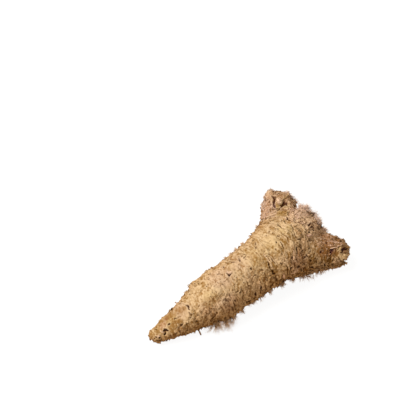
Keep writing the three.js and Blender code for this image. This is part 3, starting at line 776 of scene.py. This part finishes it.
# Bark chips: larger plates of the skin that have come loose but still hold, a few fingernail-thin
# slivers of leaf base, and the pale broken edges of cracks. Each lies where the photograph shows it.
CHIP_SEED = 5
CHIP_COLUMNS = 4
CHIP_STEP = 0.45  # spacing of its rows
CHIP_SUNK = 0.35
CHIP_WIDTH = (0.55, 1.15)  # over the half width given for it
CHIP_JOG = 0.25  # how far its rows zigzag, over its half width
CHIPS = [
    # pixels from one end to the other; half width and height; how rosy, how yellow, how pale it is
    ([(278.4, 196.8), (279, 199.6), (278.6, 202.4)], 1.35, 0.55, 0.6, 0.055, 1.2),
    ([(283.6, 198.4), (287.8, 195.2)], 0.8, 0.6, 0.2, 0.44, 0.9),
    ([(287.6, 195), (288.8, 193.2)], 0.5, 0.9, 0.3, 0.22, 1.2),
    ([(276.4, 203.8), (277.4, 206.4), (278.2, 209.2)], 1.2, 0.4, 0.1, 0.6, 0.4),
    ([(277.6, 212.4), (282.2, 211.8), (287, 212)], 2.8, 0.4, 0, 0.5, 0.15),
    ([(284.8, 207.6), (289.4, 207.2)], 0.6, 0.6, 0.2, 0.22, 0.9),
    ([(292.6, 212.4), (292.2, 216.6), (291.8, 221.2)], 1.2, 0.6, 0.6, 0.2, 0.9),
    ([(296.9, 221.2), (299.5, 219.4)], 0.8, 0.7, 0.4, 0.28, 1.3),
    ([(289, 208.6), (290.8, 207.8)], 0.5, 0.6, 1, 0, 1.1),
    ([(285, 218.2), (286, 217.4)], 0.5, 0.6, 0.6, 0.11, 1.1),
    ([(297.4, 217.6), (298.6, 216.8)], 0.6, 0.7, 1, 0, 1.1),
    ([(291, 210.8), (295, 209.8)], 0.7, 0.5, 1, 0, 0.8),
    ([(300.4, 222.2), (303.4, 222.6)], 0.7, 0.5, 0.8, 0.055, 0.8),
    ([(307.8, 234.8), (311.9, 235.3)], 0.6, 0.7, 1, 0, 1.3),
    ([(316.2, 222), (316.8, 226)], 0.5, 0.6, 0.8, 0, 0.8),
    ([(282, 222.2), (284.8, 227), (287.4, 232.4)], 1.5, 0.4, 0, 0.4, 1.2),
    ([(294.4, 225.2), (297.6, 223.2), (301.6, 226), (305, 230.6)], 0.7, 0.7, 0.1, 0.3, 1.2),
    ([(296.6, 228.8), (299.4, 233.4), (302.6, 236.8)], 0.7, 0.5, 0.3, 0.22, 0.8),
    ([(294.4, 247.2), (294.5, 255), (294.6, 259.6), (296.5, 261.9)], 0.35, 0.55, 0.5, 0.11, 1.2),
    ([(263.6, 252.6), (268.4, 258.6), (271.6, 264), (273.3, 268.6)], 0.3, 0.5, 0.2, 0.22, 1.2),
    ([(265.4, 254.2), (266.8, 255.4)], 0.5, 0.6, 0.1, 0.28, 1.4),
    ([(304.6, 237.8), (304.4, 243.6), (303.8, 249.4)], 1.2, 0.55, 0.3, 0.2, 0.8),
    ([(299, 248.6), (299.6, 256)], 0.5, 0.45, 0.4, 0.11, 0.6),
    ([(292.2, 274), (296.4, 271.4), (300.6, 268.2)], 0.6, 0.6, 0.6, 0.055, 1),
    ([(301.2, 273.2), (303.4, 269.6), (305.9, 266.2)], 0.4, 0.6, 0.4, 0.17, 0.9),
    ([(283.6, 273.8), (284.6, 278)], 0.45, 0.6, 0.8, 0, 1.2),
    ([(160, 330), (162.4, 331.8), (163.7, 334.2)], 0.35, 0.7, 0.4, 0.055, 1.4),
    ([(157, 337), (158.4, 336.2), (160.2, 335.6)], 0.6, 0.6, 0.5, 0.055, 1.5),
    ([(226.2, 270.6), (229.2, 272.8), (232, 271)], 0.5, 0.35, 0.6, 0, 1.2),
    ([(239.6, 262.2), (240.9, 262.4)], 0.4, 0.35, 0.3, 0.17, 1.4),
    ([(326.4, 240.4), (331, 240.8), (335.4, 241.4), (344.1, 243.1)], 0.28, 0.5, 0.9, 0.055, 1),
    ([(331.2, 249.2), (334.6, 247.4), (338.7, 245.5), (344.9, 243.5)], 0.28, 0.55, 0.8, 0.11, 1.1),
    ([(327, 244.4), (330.6, 244.8), (334.2, 244.9)], 0.45, 0.35, 1, 0, 0.3),
    ([(337.8, 251.4), (340.2, 249.2), (342.1, 246.9)], 0.9, 0.6, 0, 0.55, 0.8),
    ([(341.4, 258.8), (344.2, 256.4), (346.8, 254.4)], 1.8, 0.6, 0.1, 0.5, 1.2),
    ([(345.6, 254.8), (348, 253), (350.6, 249.4)], 0.5, 0.6, 0.3, 0.28, 1),
    ([(333.2, 262.6), (337, 261.6), (340.9, 261.3)], 0.5, 0.55, 0.5, 0.11, 1),
    ([(322.4, 234), (328, 234.6), (334, 237.8)], 0.5, 0.5, 0.9, 0, 0.5),
    ([(259.6, 281.6), (260, 285.6), (260.3, 290.2)], 0.4, 0.5, 0.3, 0.17, 1),
    ([(245.6, 291), (246.2, 294.6)], 0.4, 0.5, 0.3, 0.17, 1),
]

skin_normals = read_normals(body_mesh)
skin_faces = [tuple(face.vertices) for face in body_mesh.polygons]
skin_tree = BVHTree.FromPolygons(skin_points.tolist(), skin_faces)


def scattered(draw, likely, count):
    """Points of the skin, by their numbers, drawn at random where they are likely."""
    return draw.choices(range(len(skin_points)), cum_weights=np.cumsum(likely).tolist(), k=count)


def growth_way(at, turn):
    """The way in which the limb has grown at a point of the skin, turned by an angle."""
    return Matrix.Rotation(turn, 3, Vector(skin_normals[at])) @ Vector(heading[at])


def share_of(value):
    return float(np.clip(value, 0, 1))


class Gathered:
    """Many small closed bodies in one mesh, with the values that their material reads."""

    def __init__(self):
        self.points = []
        self.faces = []
        self.values = {layer: [] for layer in LAYERS}

    def add(self, points, faces, grain=1.0, **values):
        first = len(self.points)
        values["grain"] = grain
        self.points.extend((p.x, p.y, max(p.z, 0.0)) for p in points)
        self.faces.extend(tuple(first + i for i in face) for face in faces)
        for name, found in self.values.items():
            given = values[name]
            found.extend(given if isinstance(given, list) else [given] * len(points))

    def piece(self, name, material, crisp=False):
        mesh = bpy.data.meshes.new(name)
        mesh.from_pydata((np.array(self.points) * MM).tolist(), [], self.faces)
        for layer, values in self.values.items():
            paint(mesh, layer, values)
        mesh.materials.append(material)
        if not crisp:
            mesh.shade_smooth()
        made = bpy.data.objects.new(name, mesh)
        bpy.context.scene.collection.objects.link(made)
        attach(made, "root")
        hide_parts("rhizome")


def slab(rows, normals, thickness):
    """Points and faces of a thin closed sheet over a grid of points."""
    columns = len(rows[0])
    top = [p for row in rows for p in row]
    under = [p - n * thickness for row, edge in zip(rows, normals) for p, n in zip(row, edge)]
    layer = len(top)
    faces = []
    for j in range(len(rows) - 1):
        for i in range(columns - 1):
            a, b = j * columns + i, (j + 1) * columns + i
            faces.append((a, a + 1, b + 1, b))
            faces.append((layer + a, layer + b, layer + b + 1, layer + a + 1))
    rim = [j * columns for j in range(len(rows) - 1, 0, -1)] + list(range(columns))
    rim += [j * columns + columns - 1 for j in range(1, len(rows))]
    rim += [(len(rows) - 1) * columns + i for i in range(columns - 2, 0, -1)]
    for a, b in zip(rim, rim[1:] + rim[:1]):
        faces.append((b, a, layer + a, layer + b))
    return top + under, faces


def chip(path, half_width, height, draw):
    """A ragged plate that follows a path on the skin, domed a little and rooted under the skin."""
    length = sum((b - a).length for a, b in zip(path, path[1:]))
    count = max(3, round(length / CHIP_STEP))
    rows, normals = [], []
    for j in range(count + 1):
        run = j / count * (len(path) - 1)
        at = min(int(run), len(path) - 2)
        spot = path[at].lerp(path[at + 1], run - at)
        ahead = (path[min(at + 2, len(path) - 1)] - path[max(at - 1, 0)]).normalized()
        _, normal, _, _ = skin_tree.find_nearest(spot)
        side = normal.cross(ahead).normalized()
        reach = half_width * draw.uniform(*CHIP_WIDTH) * (1 - 0.5 * abs(2 * j / count - 1) ** 3)
        row, edge = [], []
        for i in range(CHIP_COLUMNS + 1):
            u = 2 * i / CHIP_COLUMNS - 1
            jog = draw.uniform(-CHIP_JOG, CHIP_JOG) * half_width
            beside, facing_out, _, _ = skin_tree.find_nearest(spot + side * (u * reach) + ahead * jog)
            rise = height * (1 - 0.35 * u * u) * draw.uniform(0.6, 1.1)
            row.append(beside + facing_out * rise)
            edge.append(facing_out)
        rows.append(row)
        normals.append(edge)
    return slab(rows, normals, height + CHIP_SUNK)


chip_draw = random.Random(CHIP_SEED)
chips = Gathered()
for pixels, half_width, height, rose_share, yellow_share, pale_share in CHIPS:
    path = [Vector(p) for p in seen_path(pixels)]
    points, faces = chip(path, half_width, height, chip_draw)
    # Painted shade under the plate, and the painted shade of the skin that it lies on.
    under_edge = [0.0] * (len(points) // 2) + [0.6] * (len(points) - len(points) // 2)
    tones = [pale_share + chip_draw.uniform(-0.6, 0.15) for _ in points]
    shade = 0.25 + 0.75 * float(topside[seen_at(pixels[len(pixels) // 2])])
    chips.add(points, faces, 0.8, hollow=under_edge, tone=tones, rosy=rose_share, yellow=yellow_share,
              top=shade)
chip_bark = bark_material("loose_bark", Pale=(0.66, 0.47, 0.28), Rose=(0.68, 0.45, 0.33))
chips.piece("bark_chips", chip_bark, crisp=True)

# Loose flakes of bark: thin dry chips of the outer skin, rooted at one edge and lifted at the other.
# They are densest along the lips of the rings and on the flanks, and curl as they dry.
FLAKE_COUNT = 3600
FLAKE_SEED = 21
FLAKE_ROWS = 2
FLAKE_COLUMNS = 3
FLAKE_THICKNESS = 0.12
FLAKE_SUNK = 0.1
FLAKE_SIZE = (0.4, 1.0)
FLAKE_LENGTH = 1.5  # over its size
FLAKE_WIDTH = (0.4, 1.2)
FLAKE_LIFT = (0.06, 0.38)
FLAKE_CURL = (-0.2, 0.25)
FLAKE_TURN = 0.6  # how far its way differs from the limb's
FLAKES_BACK = 0.65  # share of them that points back to the tip
PIT_DARK = 0.6  # pits and clefts darker than this stay clear of flakes and strips
PIT_MARGIN = 0.8  # by this much for a flake
PIT_CLEARANCE = 0.4  # and by this much for a strip, over its half width
PIT_STEPS = 8


def flake(spot, normal, way, length, width, lift, curl, draw):
    """A ragged chip rooted at spot, reaching along way and lifting off the skin."""
    side = normal.cross(way)
    lengths = [length * draw.uniform(0.6, 1.1) for _ in range(FLAKE_COLUMNS + 1)]
    rows, normals = [], []
    for j in range(FLAKE_ROWS + 1):
        v = j / FLAKE_ROWS
        row = []
        for i in range(FLAKE_COLUMNS + 1):
            u = 2 * i / FLAKE_COLUMNS - 1
            rise = -FLAKE_SUNK + (lift + FLAKE_SUNK) * v + curl * v * u * u
            reach = lengths[i] * v
            row.append(spot + way * reach + side * (u * width * (0.8 + 0.3 * v)) + normal * rise)
        rows.append(row)
        normals.append([normal] * len(row))
    return slab(rows, normals, FLAKE_THICKNESS)


deep_points = skin_points[marked > PIT_DARK]
pits = KDTree(len(deep_points))
for number, point in enumerate(deep_points.tolist()):
    pits.insert(point, number)
pits.balance()
flake_draw = random.Random(FLAKE_SEED)
likely = (0.3 + 0.7 * ring_strength * ring_rise**3) * coarse * belly * (0.4 + flank)
likely *= 0.4 + 0.6 * smooth_step(grown, 8, 24)
flakes = Gathered()
for at in scattered(flake_draw, likely, FLAKE_COUNT):
    normal = Vector(skin_normals[at])
    if pits.find(skin_points[at])[2] < PIT_MARGIN:
        continue
    way = Vector(heading[at])
    way = (way - normal * way.dot(normal)).normalized()
    facing_way = -1 if flake_draw.random() < FLAKES_BACK else 1
    way = Matrix.Rotation(flake_draw.gauss(0, FLAKE_TURN), 3, normal) @ way * facing_way
    size = flake_draw.uniform(*FLAKE_SIZE)
    width = size * flake_draw.uniform(*FLAKE_WIDTH)
    lift = flake_draw.uniform(*FLAKE_LIFT)
    curl = flake_draw.uniform(*FLAKE_CURL)
    start = Vector(skin_points[at])
    shape = flake(start, normal, way, FLAKE_LENGTH * size, width, lift, curl, flake_draw)
    # Top carries the painted shade of the skin below.
    flakes.add(*shape, hollow=0.0, tone=flake_draw.uniform(0.2, 1.1), rosy=share_of(rosy[at]),
               yellow=share_of(yellow[at]), top=float(topside[at]))
flakes.piece("bark_flakes", bark_material("bark_flake"))

# Torn leaf bases: the papery feet of old leaves, sheathed in rows round the end of each lobe. They
# have long fine ribs, lie one row under the other like tiles, and end in a ragged tear.
SHEATH_SEED = 33
SHEATH_ROWS = [HEAD + 1 + RING_STEP * row for row in range(6)]  # where each row is rooted
SHEATH_LENGTH = (4.5, 8.5)
SHEATH_HALF_WIDTH = (1.2, 2.8)
SHEATH_LIFT = (0.1, 0.5)
SHEATH_THICKNESS = 0.2
SHEATH_SUNK = 0.15
SHEATH_RIB = 0.06
SHEATH_WAVE = 0.3
SHEATH_FIBRE = 0.2  # how much its fibres differ in tone
SHEATH_TURN = 0.15
SHEATH_LOWEST = 2.5  # none is rooted closer to the ground
SHEATH_SPACING = 2.1  # over the half width
SHEATH_GRID = (8, 9)


def walk(start, way, length, steps):
    """Points on the skin and their normals, on a path of the given length that starts out along way."""
    spots, normals = [], []
    place = start
    for _ in range(steps + 1):
        spot, normal, _, _ = skin_tree.find_nearest(place)
        spots.append(spot)
        normals.append(normal)
        way = (way - normal * way.dot(normal)).normalized()
        place = spot + way * (length / steps)
    return spots, normals


def blade(start, way, length, half_width, lift, grid, draw):
    """A ribbed strip of dry leaf that follows the skin from its rooted edge and is torn at the other."""
    steps, columns = grid
    path, path_normals = walk(start, way, length, steps)
    reaches = [draw.uniform(0.5, 1.0) for _ in range(columns + 1)]
    ribs = [draw.uniform(-SHEATH_RIB, SHEATH_RIB) for _ in range(columns + 1)]
    wave = draw.uniform(-SHEATH_WAVE, SHEATH_WAVE)
    rows, normals = [], []
    for j in range(steps + 1):
        row, edge = [], []
        for i in range(columns + 1):
            u = 2 * i / columns - 1
            v = j / steps * reaches[i]
            at = min(int(v * steps), steps - 1)
            share = v * steps - at
            spot = path[at].lerp(path[at + 1], share)
            normal = path_normals[at].lerp(path_normals[at + 1], share).normalized()
            ahead = (path[at + 1] - path[at]).normalized()
            side = normal.cross(ahead)
            beside = spot + side * (u * half_width * (1 - 0.3 * v * v))
            under, under_normal, _, _ = skin_tree.find_nearest(beside)
            rise = -SHEATH_SUNK + (lift + SHEATH_SUNK) * v**1.4 + ribs[i] + wave * v * u
            row.append(under + under_normal * rise)
            edge.append(under_normal)
        rows.append(row)
        normals.append(edge)
    return slab(rows, normals, SHEATH_THICKNESS)


def over_pit(start, way, length, half_width):
    """Whether a strip laid from start would cover one of the deep pits."""
    spots, _ = walk(start, way, length, PIT_STEPS)
    return any(pits.find(spot)[2] < half_width + PIT_CLEARANCE for spot in spots)


sheath_draw = random.Random(SHEATH_SEED)
sheaths = Gathered()
for root_row in SHEATH_ROWS:
    rooted = (np.abs(grown - root_row) < 0.6) & (skin_points[:, 2] > SHEATH_LOWEST)
    places = np.flatnonzero(rooted).tolist()
    sheath_draw.shuffle(places)
    taken = []
    for at in places:
        half_width = sheath_draw.uniform(*SHEATH_HALF_WIDTH)
        start = Vector(skin_points[at])
        if any((start - other).length < SHEATH_SPACING * half_width for other in taken):
            continue
        taken.append(start)
        way = growth_way(at, sheath_draw.gauss(0, SHEATH_TURN))
        length = sheath_draw.uniform(*SHEATH_LENGTH)
        lift = sheath_draw.uniform(*SHEATH_LIFT)
        if over_pit(start, way, length, 0.7 * half_width):
            continue
        shape = blade(start, way, length, half_width, lift, SHEATH_GRID, sheath_draw)
        steps, columns = SHEATH_GRID
        tone = sheath_draw.uniform(0.1, 0.8) + 0.8 * float(stain_and_shade_tone[at])
        rose_share = share_of(rosy[at] + sheath_draw.uniform(-0.25, 0.3))
        fibres = [sheath_draw.uniform(-SHEATH_FIBRE, SHEATH_FIBRE) for _ in range(columns + 1)]
        # Painted shade at its sides and its rooted end, where it meets its neighbours and the skin.
        side_dark = [0.45 * abs(2 * i / columns - 1) ** 4 for i in range(columns + 1)]
        shade, tones = [], []
        for j in range(steps + 1):
            shade += [max(dark, 0.35 - 1.8 * j / steps) for dark in side_dark]
            tones += [tone + fibre + 0.3 * j / steps for fibre in fibres]
        # Top carries the painted shade of the skin below.
        sheaths.add(*shape, hollow=shade * 2, tone=tones * 2, rosy=rose_share, yellow=0.1,
                    top=float(topside[at]))
sheaths.piece("leaf_bases", bark_material("dry_leaf_base"))

# Shreds of leaf bases: narrow fibrous strips that have split off and lie or stand between the sheaths.
# They cover the head and both lobes, save for the lowest part of the flanks.
SHRED_COUNT = 1100
SHRED_SEED = 8
SHRED_GRID = (5, 2)
SHRED_LENGTH = (1.5, 5.0)
SHRED_HALF_WIDTH = (0.08, 0.28)
SHRED_LIFT = (0.1, 0.9)
SHRED_TURN = 0.5
shred_draw = random.Random(SHRED_SEED)
likely = head * smooth_step(skin_points[:, 2], 3, 9)
shreds = Gathered()
for at in scattered(shred_draw, likely, SHRED_COUNT):
    start = Vector(skin_points[at])
    way = growth_way(at, shred_draw.gauss(0, SHRED_TURN))
    length = shred_draw.uniform(*SHRED_LENGTH)
    lift = shred_draw.uniform(*SHRED_LIFT)
    half_width = shred_draw.uniform(*SHRED_HALF_WIDTH)
    if over_pit(start, way, length, half_width):
        continue
    rose_share = share_of(rosy[at] + shred_draw.uniform(-0.2, 0.3))
    tone = shred_draw.uniform(-0.1, 1.2) + 0.5 * float(stain_and_shade_tone[at])
    shape = blade(start, way, length, half_width, lift, SHRED_GRID, shred_draw)
    # Top carries the painted shade of the skin below.
    shreds.add(*shape, hollow=0.0, tone=tone, rosy=rose_share, yellow=shred_draw.uniform(0.0, 0.4),
               top=float(0.1 + 0.9 * topside[at]))
shreds.piece("leaf_base_shreds", bark_material("dry_shred"))

# Stubs of feeding roots: short broken ends of the thick roots that held the rhizome in the ground,
# grown out of both flanks just under their widest part. They are darker than the bark.
STUB_SEED = 12
STUB_COUNT = 26
STUB_TRIES = 4  # places drawn for each, as some are too close to another
STUB_SIDES = 7
STUB_STEPS = 5
STUB_SPACING = 4.5
STUB_HEIGHT = (5.5, 2.5)  # over the ground: the middle and the half width of the zone that they grow in
STUB_LENGTH = (1.0, 3.2)
STUB_RADIUS = (0.32, 0.62)
STUB_SUNK = 1.2
STUB_DROOP = 0.12


def rod(spots, radii, sides):
    """A closed bent rod through the spots, with a radius at each."""
    points, faces = [], []
    for row, (spot, radius) in enumerate(zip(spots, radii)):
        ahead = spots[min(row + 1, len(spots) - 1)] - spots[max(row - 1, 0)]
        side = ahead.orthogonal().normalized()
        over = ahead.normalized().cross(side)
        for i in range(sides):
            turn = 2 * math.pi * i / sides
            points.append(spot + side * (radius * math.cos(turn)) + over * (radius * math.sin(turn)))
    for row in range(len(spots) - 1):
        for i in range(sides):
            a, b = row * sides + i, row * sides + (i + 1) % sides
            faces.append((a, b, b + sides, a + sides))
    faces.append(tuple(range(sides - 1, -1, -1)))
    last = (len(spots) - 1) * sides
    faces.append(tuple(last + i for i in range(sides)))
    return points, faces


stub_draw = random.Random(STUB_SEED)
likely = np.exp(-(((skin_points[:, 2] - STUB_HEIGHT[0]) / STUB_HEIGHT[1]) ** 2))
likely *= smooth_step(grown, 12, 30)
stubs = Gathered()
taken = []
for at in scattered(stub_draw, likely, STUB_COUNT * STUB_TRIES):
    start = Vector(skin_points[at])
    if len(taken) == STUB_COUNT or any((start - other).length < STUB_SPACING for other in taken):
        continue
    taken.append(start)
    normal = Vector(skin_normals[at])
    way = (normal + Vector((stub_draw.gauss(0, 0.35), stub_draw.gauss(0, 0.35), -0.2))).normalized()
    length = stub_draw.uniform(*STUB_LENGTH)
    spots, radii = [], []
    radius = stub_draw.uniform(*STUB_RADIUS)
    place = start - normal * STUB_SUNK
    for step in range(STUB_STEPS + 1):
        spots.append(Vector((place.x, place.y, max(place.z, radius))))
        radii.append(radius * (1.25 - 0.6 * step / STUB_STEPS + stub_draw.uniform(-0.12, 0.12)))
        place = place + way * ((length + STUB_SUNK) / STUB_STEPS)
        way = (way - Vector((0, 0, STUB_DROOP))).normalized()
    points, faces = rod(spots, radii, STUB_SIDES)
    torn = [p + way * stub_draw.uniform(-0.4, 0.5) for p in points[-STUB_SIDES:]]
    hollow = [0.0] * (len(points) - STUB_SIDES) + [0.5] * STUB_SIDES
    points = points[:-STUB_SIDES] + torn
    tone = stub_draw.uniform(0.0, 0.5)
    # A low top gives them the painted shade of the flank.
    stubs.add(points, faces, hollow=hollow, tone=tone, rosy=0.3, yellow=0.0, top=0.2)
stubs.piece("root_stubs", bark_material("dry_root"))

# Root hairs: fine dry rootlets left on both flanks, on the underside and round the lobes. They hang,
# bend and lie on the ground, thick in some tufts and nearly bare between them. On top of the head and
# round its far side they are a soft down, finer and paler than the rootlets.
HAIR_SEED = 57
HAIR_COUNT = 2400
HAIR_STEPS = 6
HAIR_SIDES = 3
HAIR_SUNK = 0.4
HAIR_DROOP = 0.1
HAIR_TAPER = 0.75
HAIR_LENGTH = (0.6, 2.6)  # of those that stand outside the tufts
HAIR_HEIGHT = (5.0, 3.2)  # over the ground: the middle and the half width of the zone of most hairs
HAIR_RADII = (0.045, 0.1)
DOWN_RADII = (0.035, 0.09)
DOWN_HEIGHT = 9.0  # the down grows higher than this, and hairs below it are darker at the foot
LOCK_SIZE = 10  # hairs of a tuft that hang together
LOCK_SPREAD = 0.55
LOCK_LENGTH = (0.45, 1.1)  # over the length given for its tuft
LOCK_EVEN = (0.7, 1.0)  # length of a hair over that of its lock
TUFTS = [
    # a pixel just off its foot; radius of its foot; how many hairs; their length
    ((213, 331), 1.6, 100, 6.6),
    ((220, 329), 2.2, 220, 9.0),
    ((228, 325), 2.2, 220, 8.4),
    ((236, 320), 1.6, 90, 5.4),
    ((245, 313), 1.6, 80, 4.2),
    ((254, 306), 1.6, 60, 3.6),
    ((263, 299), 1.4, 70, 5.0),
    ((272, 293), 1.4, 70, 5.4),
    ((283, 287), 2.0, 140, 6.0),
    ((293, 284), 2.0, 100, 5.2),
    ((303, 282), 2.0, 110, 5.4),
    ((312, 280), 2.0, 110, 5.2),
    ((321, 277), 2.0, 90, 4.6),
    ((332, 275), 1.6, 50, 2.6),
    ((342, 271), 1.6, 40, 2.4),
    ((356, 258), 1.4, 40, 2.0),
    ((356, 243), 1.4, 40, 2.0),
    ((352, 248), 1.0, 60, 2.8),
    ((344, 229), 1.8, 160, 2.2),
    ((334, 224), 2.6, 220, 3.2),
    ((327, 217), 2.6, 260, 3.8),
    ((323, 210), 2.6, 260, 4.2),
    ((317, 203), 2.6, 260, 5.0),
    ((312, 203), 0.7, 60, 6.0),
    ((319, 210), 0.7, 60, 6.0),
    ((309, 198), 2.6, 260, 4.8),
    ((304, 206), 1.6, 200, 4.4),
    ((299, 205), 1.4, 160, 4.0),
    ((301, 194), 2.2, 220, 3.8),
    ((297, 188), 2.0, 160, 3.0),
    ((289, 184), 1.4, 140, 1.8),
    ((271, 182), 1.4, 160, 2.2),
    ((264, 196), 2.6, 140, 1.6),
    ((264, 206), 2.6, 140, 1.6),
    ((266, 214), 2.2, 80, 1.4),
    ((257, 203), 1.4, 120, 2.2),
    ((254, 221), 1.4, 80, 2.0),
    ((245, 231), 0.8, 70, 2.4),
    ((238, 238), 0.8, 90, 2.8),
    ((231, 243), 0.8, 90, 2.8),
    ((226, 248), 0.8, 80, 2.4),
    ((221, 252), 0.8, 40, 1.8),
    ((180, 286), 1.0, 20, 1.2),
]


def drawn_vector(size):
    """A short random vector, flatter than it is wide."""
    return Vector((hair_draw.gauss(0, 1), hair_draw.gauss(0, 1), hair_draw.gauss(0, 0.6))) * size


def hair(start, way, bend, length, radius):
    """A thin bent thread that tapers to its end and never goes under the ground."""
    spots = [start - way * HAIR_SUNK]
    radii = [radius]
    place = start.copy()
    for step in range(HAIR_STEPS):
        spots.append(place.copy())
        radii.append(radius * (1 - HAIR_TAPER * (step + 1) / HAIR_STEPS))
        way = (way + bend - Vector((0, 0, HAIR_DROOP))).normalized()
        bend = bend + drawn_vector(0.1)
        place = place + way * (length / HAIR_STEPS)
        place.z = max(place.z, radius)
    return rod(spots, radii, HAIR_SIDES)


def grow_hair(gathered, at, length, lean, bend, radii):
    """Roots one hair at a point of the skin, and lets it lean and bend as its lock does."""
    way = (Vector(body_normals[at]) + lean + drawn_vector(0.12)).normalized()
    shape = hair(Vector(skin_points[at]), way, bend, length, hair_draw.uniform(*radii))
    pale = hair_draw.uniform(0.3, 1.1)
    dark_root = 0.6 if skin_points[at, 2] < DOWN_HEIGHT else 0.2
    tones = []
    for row in range(HAIR_STEPS + 1):
        tones += [pale - dark_root * (1 - row / HAIR_STEPS)] * HAIR_SIDES
    rose_share = hair_draw.uniform(0.1, 0.6)
    # A top of 0.8 gives them a little painted shade.
    gathered.add(*shape, 0.35, hollow=0.0, tone=tones, rosy=rose_share, yellow=0.0, top=0.8)


hair_draw = random.Random(HAIR_SEED)
hairs = Gathered()
tuft_noise = smooth_step(noise_field(straight * [1, 0.2, 0.2], 6, 11), -0.05, 0.45)
low = np.exp(-(((skin_points[:, 2] - HAIR_HEIGHT[0]) / HAIR_HEIGHT[1]) ** 2))
low *= smooth_step(-skin_normals[:, 2], -0.45, 0.1)
hairy = low * (0.08 + tuft_noise) * smooth_step(grown, 14, 30)
hairy += 0.006 + 0.04 * smooth_step(-skin_normals[:, 2], -0.5, 0) + 0.1 * head
for at in scattered(hair_draw, hairy, HAIR_COUNT):
    length = hair_draw.uniform(*HAIR_LENGTH) * (0.5 + float(tuft_noise[at] * low[at]))
    grow_hair(hairs, at, length, drawn_vector(0.6), drawn_vector(0.25), HAIR_RADII)
tufts, down = Gathered(), Gathered()
for pixel, radius, count, length in TUFTS:
    off = np.linalg.norm(skin_points - skin_points[seen_at(pixel)], axis=1)
    near = np.flatnonzero(off < radius)
    downy = skin_points[near[0], 2] > DOWN_HEIGHT and head[near[0]] > 0.5
    gathered, radii = (down, DOWN_RADII) if downy else (tufts, HAIR_RADII)
    for _ in range(count // LOCK_SIZE):
        middle = skin_points[hair_draw.choice(near.tolist())]
        rooted = near[np.linalg.norm(skin_points[near] - middle, axis=1) < LOCK_SPREAD].tolist()
        lean, bend = drawn_vector(0.45), drawn_vector(0.2)
        lock_length = length * hair_draw.uniform(*LOCK_LENGTH)
        for at in hair_draw.choices(rooted, k=LOCK_SIZE):
            hair_length = lock_length * hair_draw.uniform(*LOCK_EVEN)
            grow_hair(gathered, at, hair_length, lean, bend, radii)
rootlet_tans = {"Pale": (0.74, 0.52, 0.32), "Rose": (0.73, 0.5, 0.34), "Brown": (0.52, 0.33, 0.18)}
rootlet_bark = bark_material("dry_rootlet", **rootlet_tans)
hairs.piece("root_hairs", rootlet_bark)
tufts.piece("root_tufts", rootlet_bark)
down_pinks = {"Pale": (0.9, 0.71, 0.58), "Rose": (0.88, 0.67, 0.55), "Brown": (0.7, 0.5, 0.38)}
down.piece("head_down", bark_material("dry_down", **down_pinks))

# Surface and light: a table in an even room, and a wide soft light from the upper left, behind the
# rhizome. To the camera the table and the room are plain white. What reaches the rhizome from them is
# dimmer and slightly warm.
FLOOR_SIZE = 4.0
FLOOR_GLOW = 0.92
WHITE = (1, 1, 1, 1)
WARM_TABLE = (0.8, 0.68, 0.53, 1)
WARM_ROOM = (0.6, 0.57, 0.51, 1)


def white_to_camera(tree, colour):
    """White for the camera, and the given colour for what the light falls on."""
    seen = add_node(tree, "ShaderNodeLightPath").outputs["Is Camera Ray"]
    return blend_colour(tree, seen, colour, WHITE)


floor_mesh = bpy.data.meshes.new("floor")
half = FLOOR_SIZE / 2
floor_corners = [(-half, -half, 0), (half, -half, 0), (half, half, 0), (-half, half, 0)]
floor_mesh.from_pydata(floor_corners, [], [(0, 1, 2, 3)])
floor = bpy.data.objects.new("floor", floor_mesh)
bpy.context.scene.collection.objects.link(floor)
floor_white = bpy.data.materials.new("floor_white")
floor_white.use_nodes = True
floor_tree = floor_white.node_tree
floor_shader = floor_tree.nodes["Principled BSDF"]
floor_shader.inputs["Base Color"].default_value = (0.1, 0.1, 0.1, 1)
floor_shader.inputs["Roughness"].default_value = 0.9
floor_tree.links.new(white_to_camera(floor_tree, WARM_TABLE), floor_shader.inputs["Emission Color"])
floor_shader.inputs["Emission Strength"].default_value = FLOOR_GLOW
floor_mesh.materials.append(floor_white)

KEY_STRENGTH = 13.5
KEY_SIZE = 0.6
KEY_PLACE = Vector((-0.5, 0.3, 0.9))
key_data = bpy.data.lights.new("key", "AREA")
key_data.energy = KEY_STRENGTH
key_data.size = KEY_SIZE
key = bpy.data.objects.new("key", key_data)
key.location = KEY_PLACE
key.rotation_euler = KEY_PLACE.to_track_quat("Z", "Y").to_euler()
bpy.context.scene.collection.objects.link(key)

world = bpy.data.worlds.new("white_room")
world.use_nodes = True
room_tree = world.node_tree
room_tree.links.new(white_to_camera(room_tree, WARM_ROOM), room_tree.nodes["Background"].inputs["Color"])
bpy.context.scene.world = world
bpy.context.scene.view_settings.view_transform = "Standard"
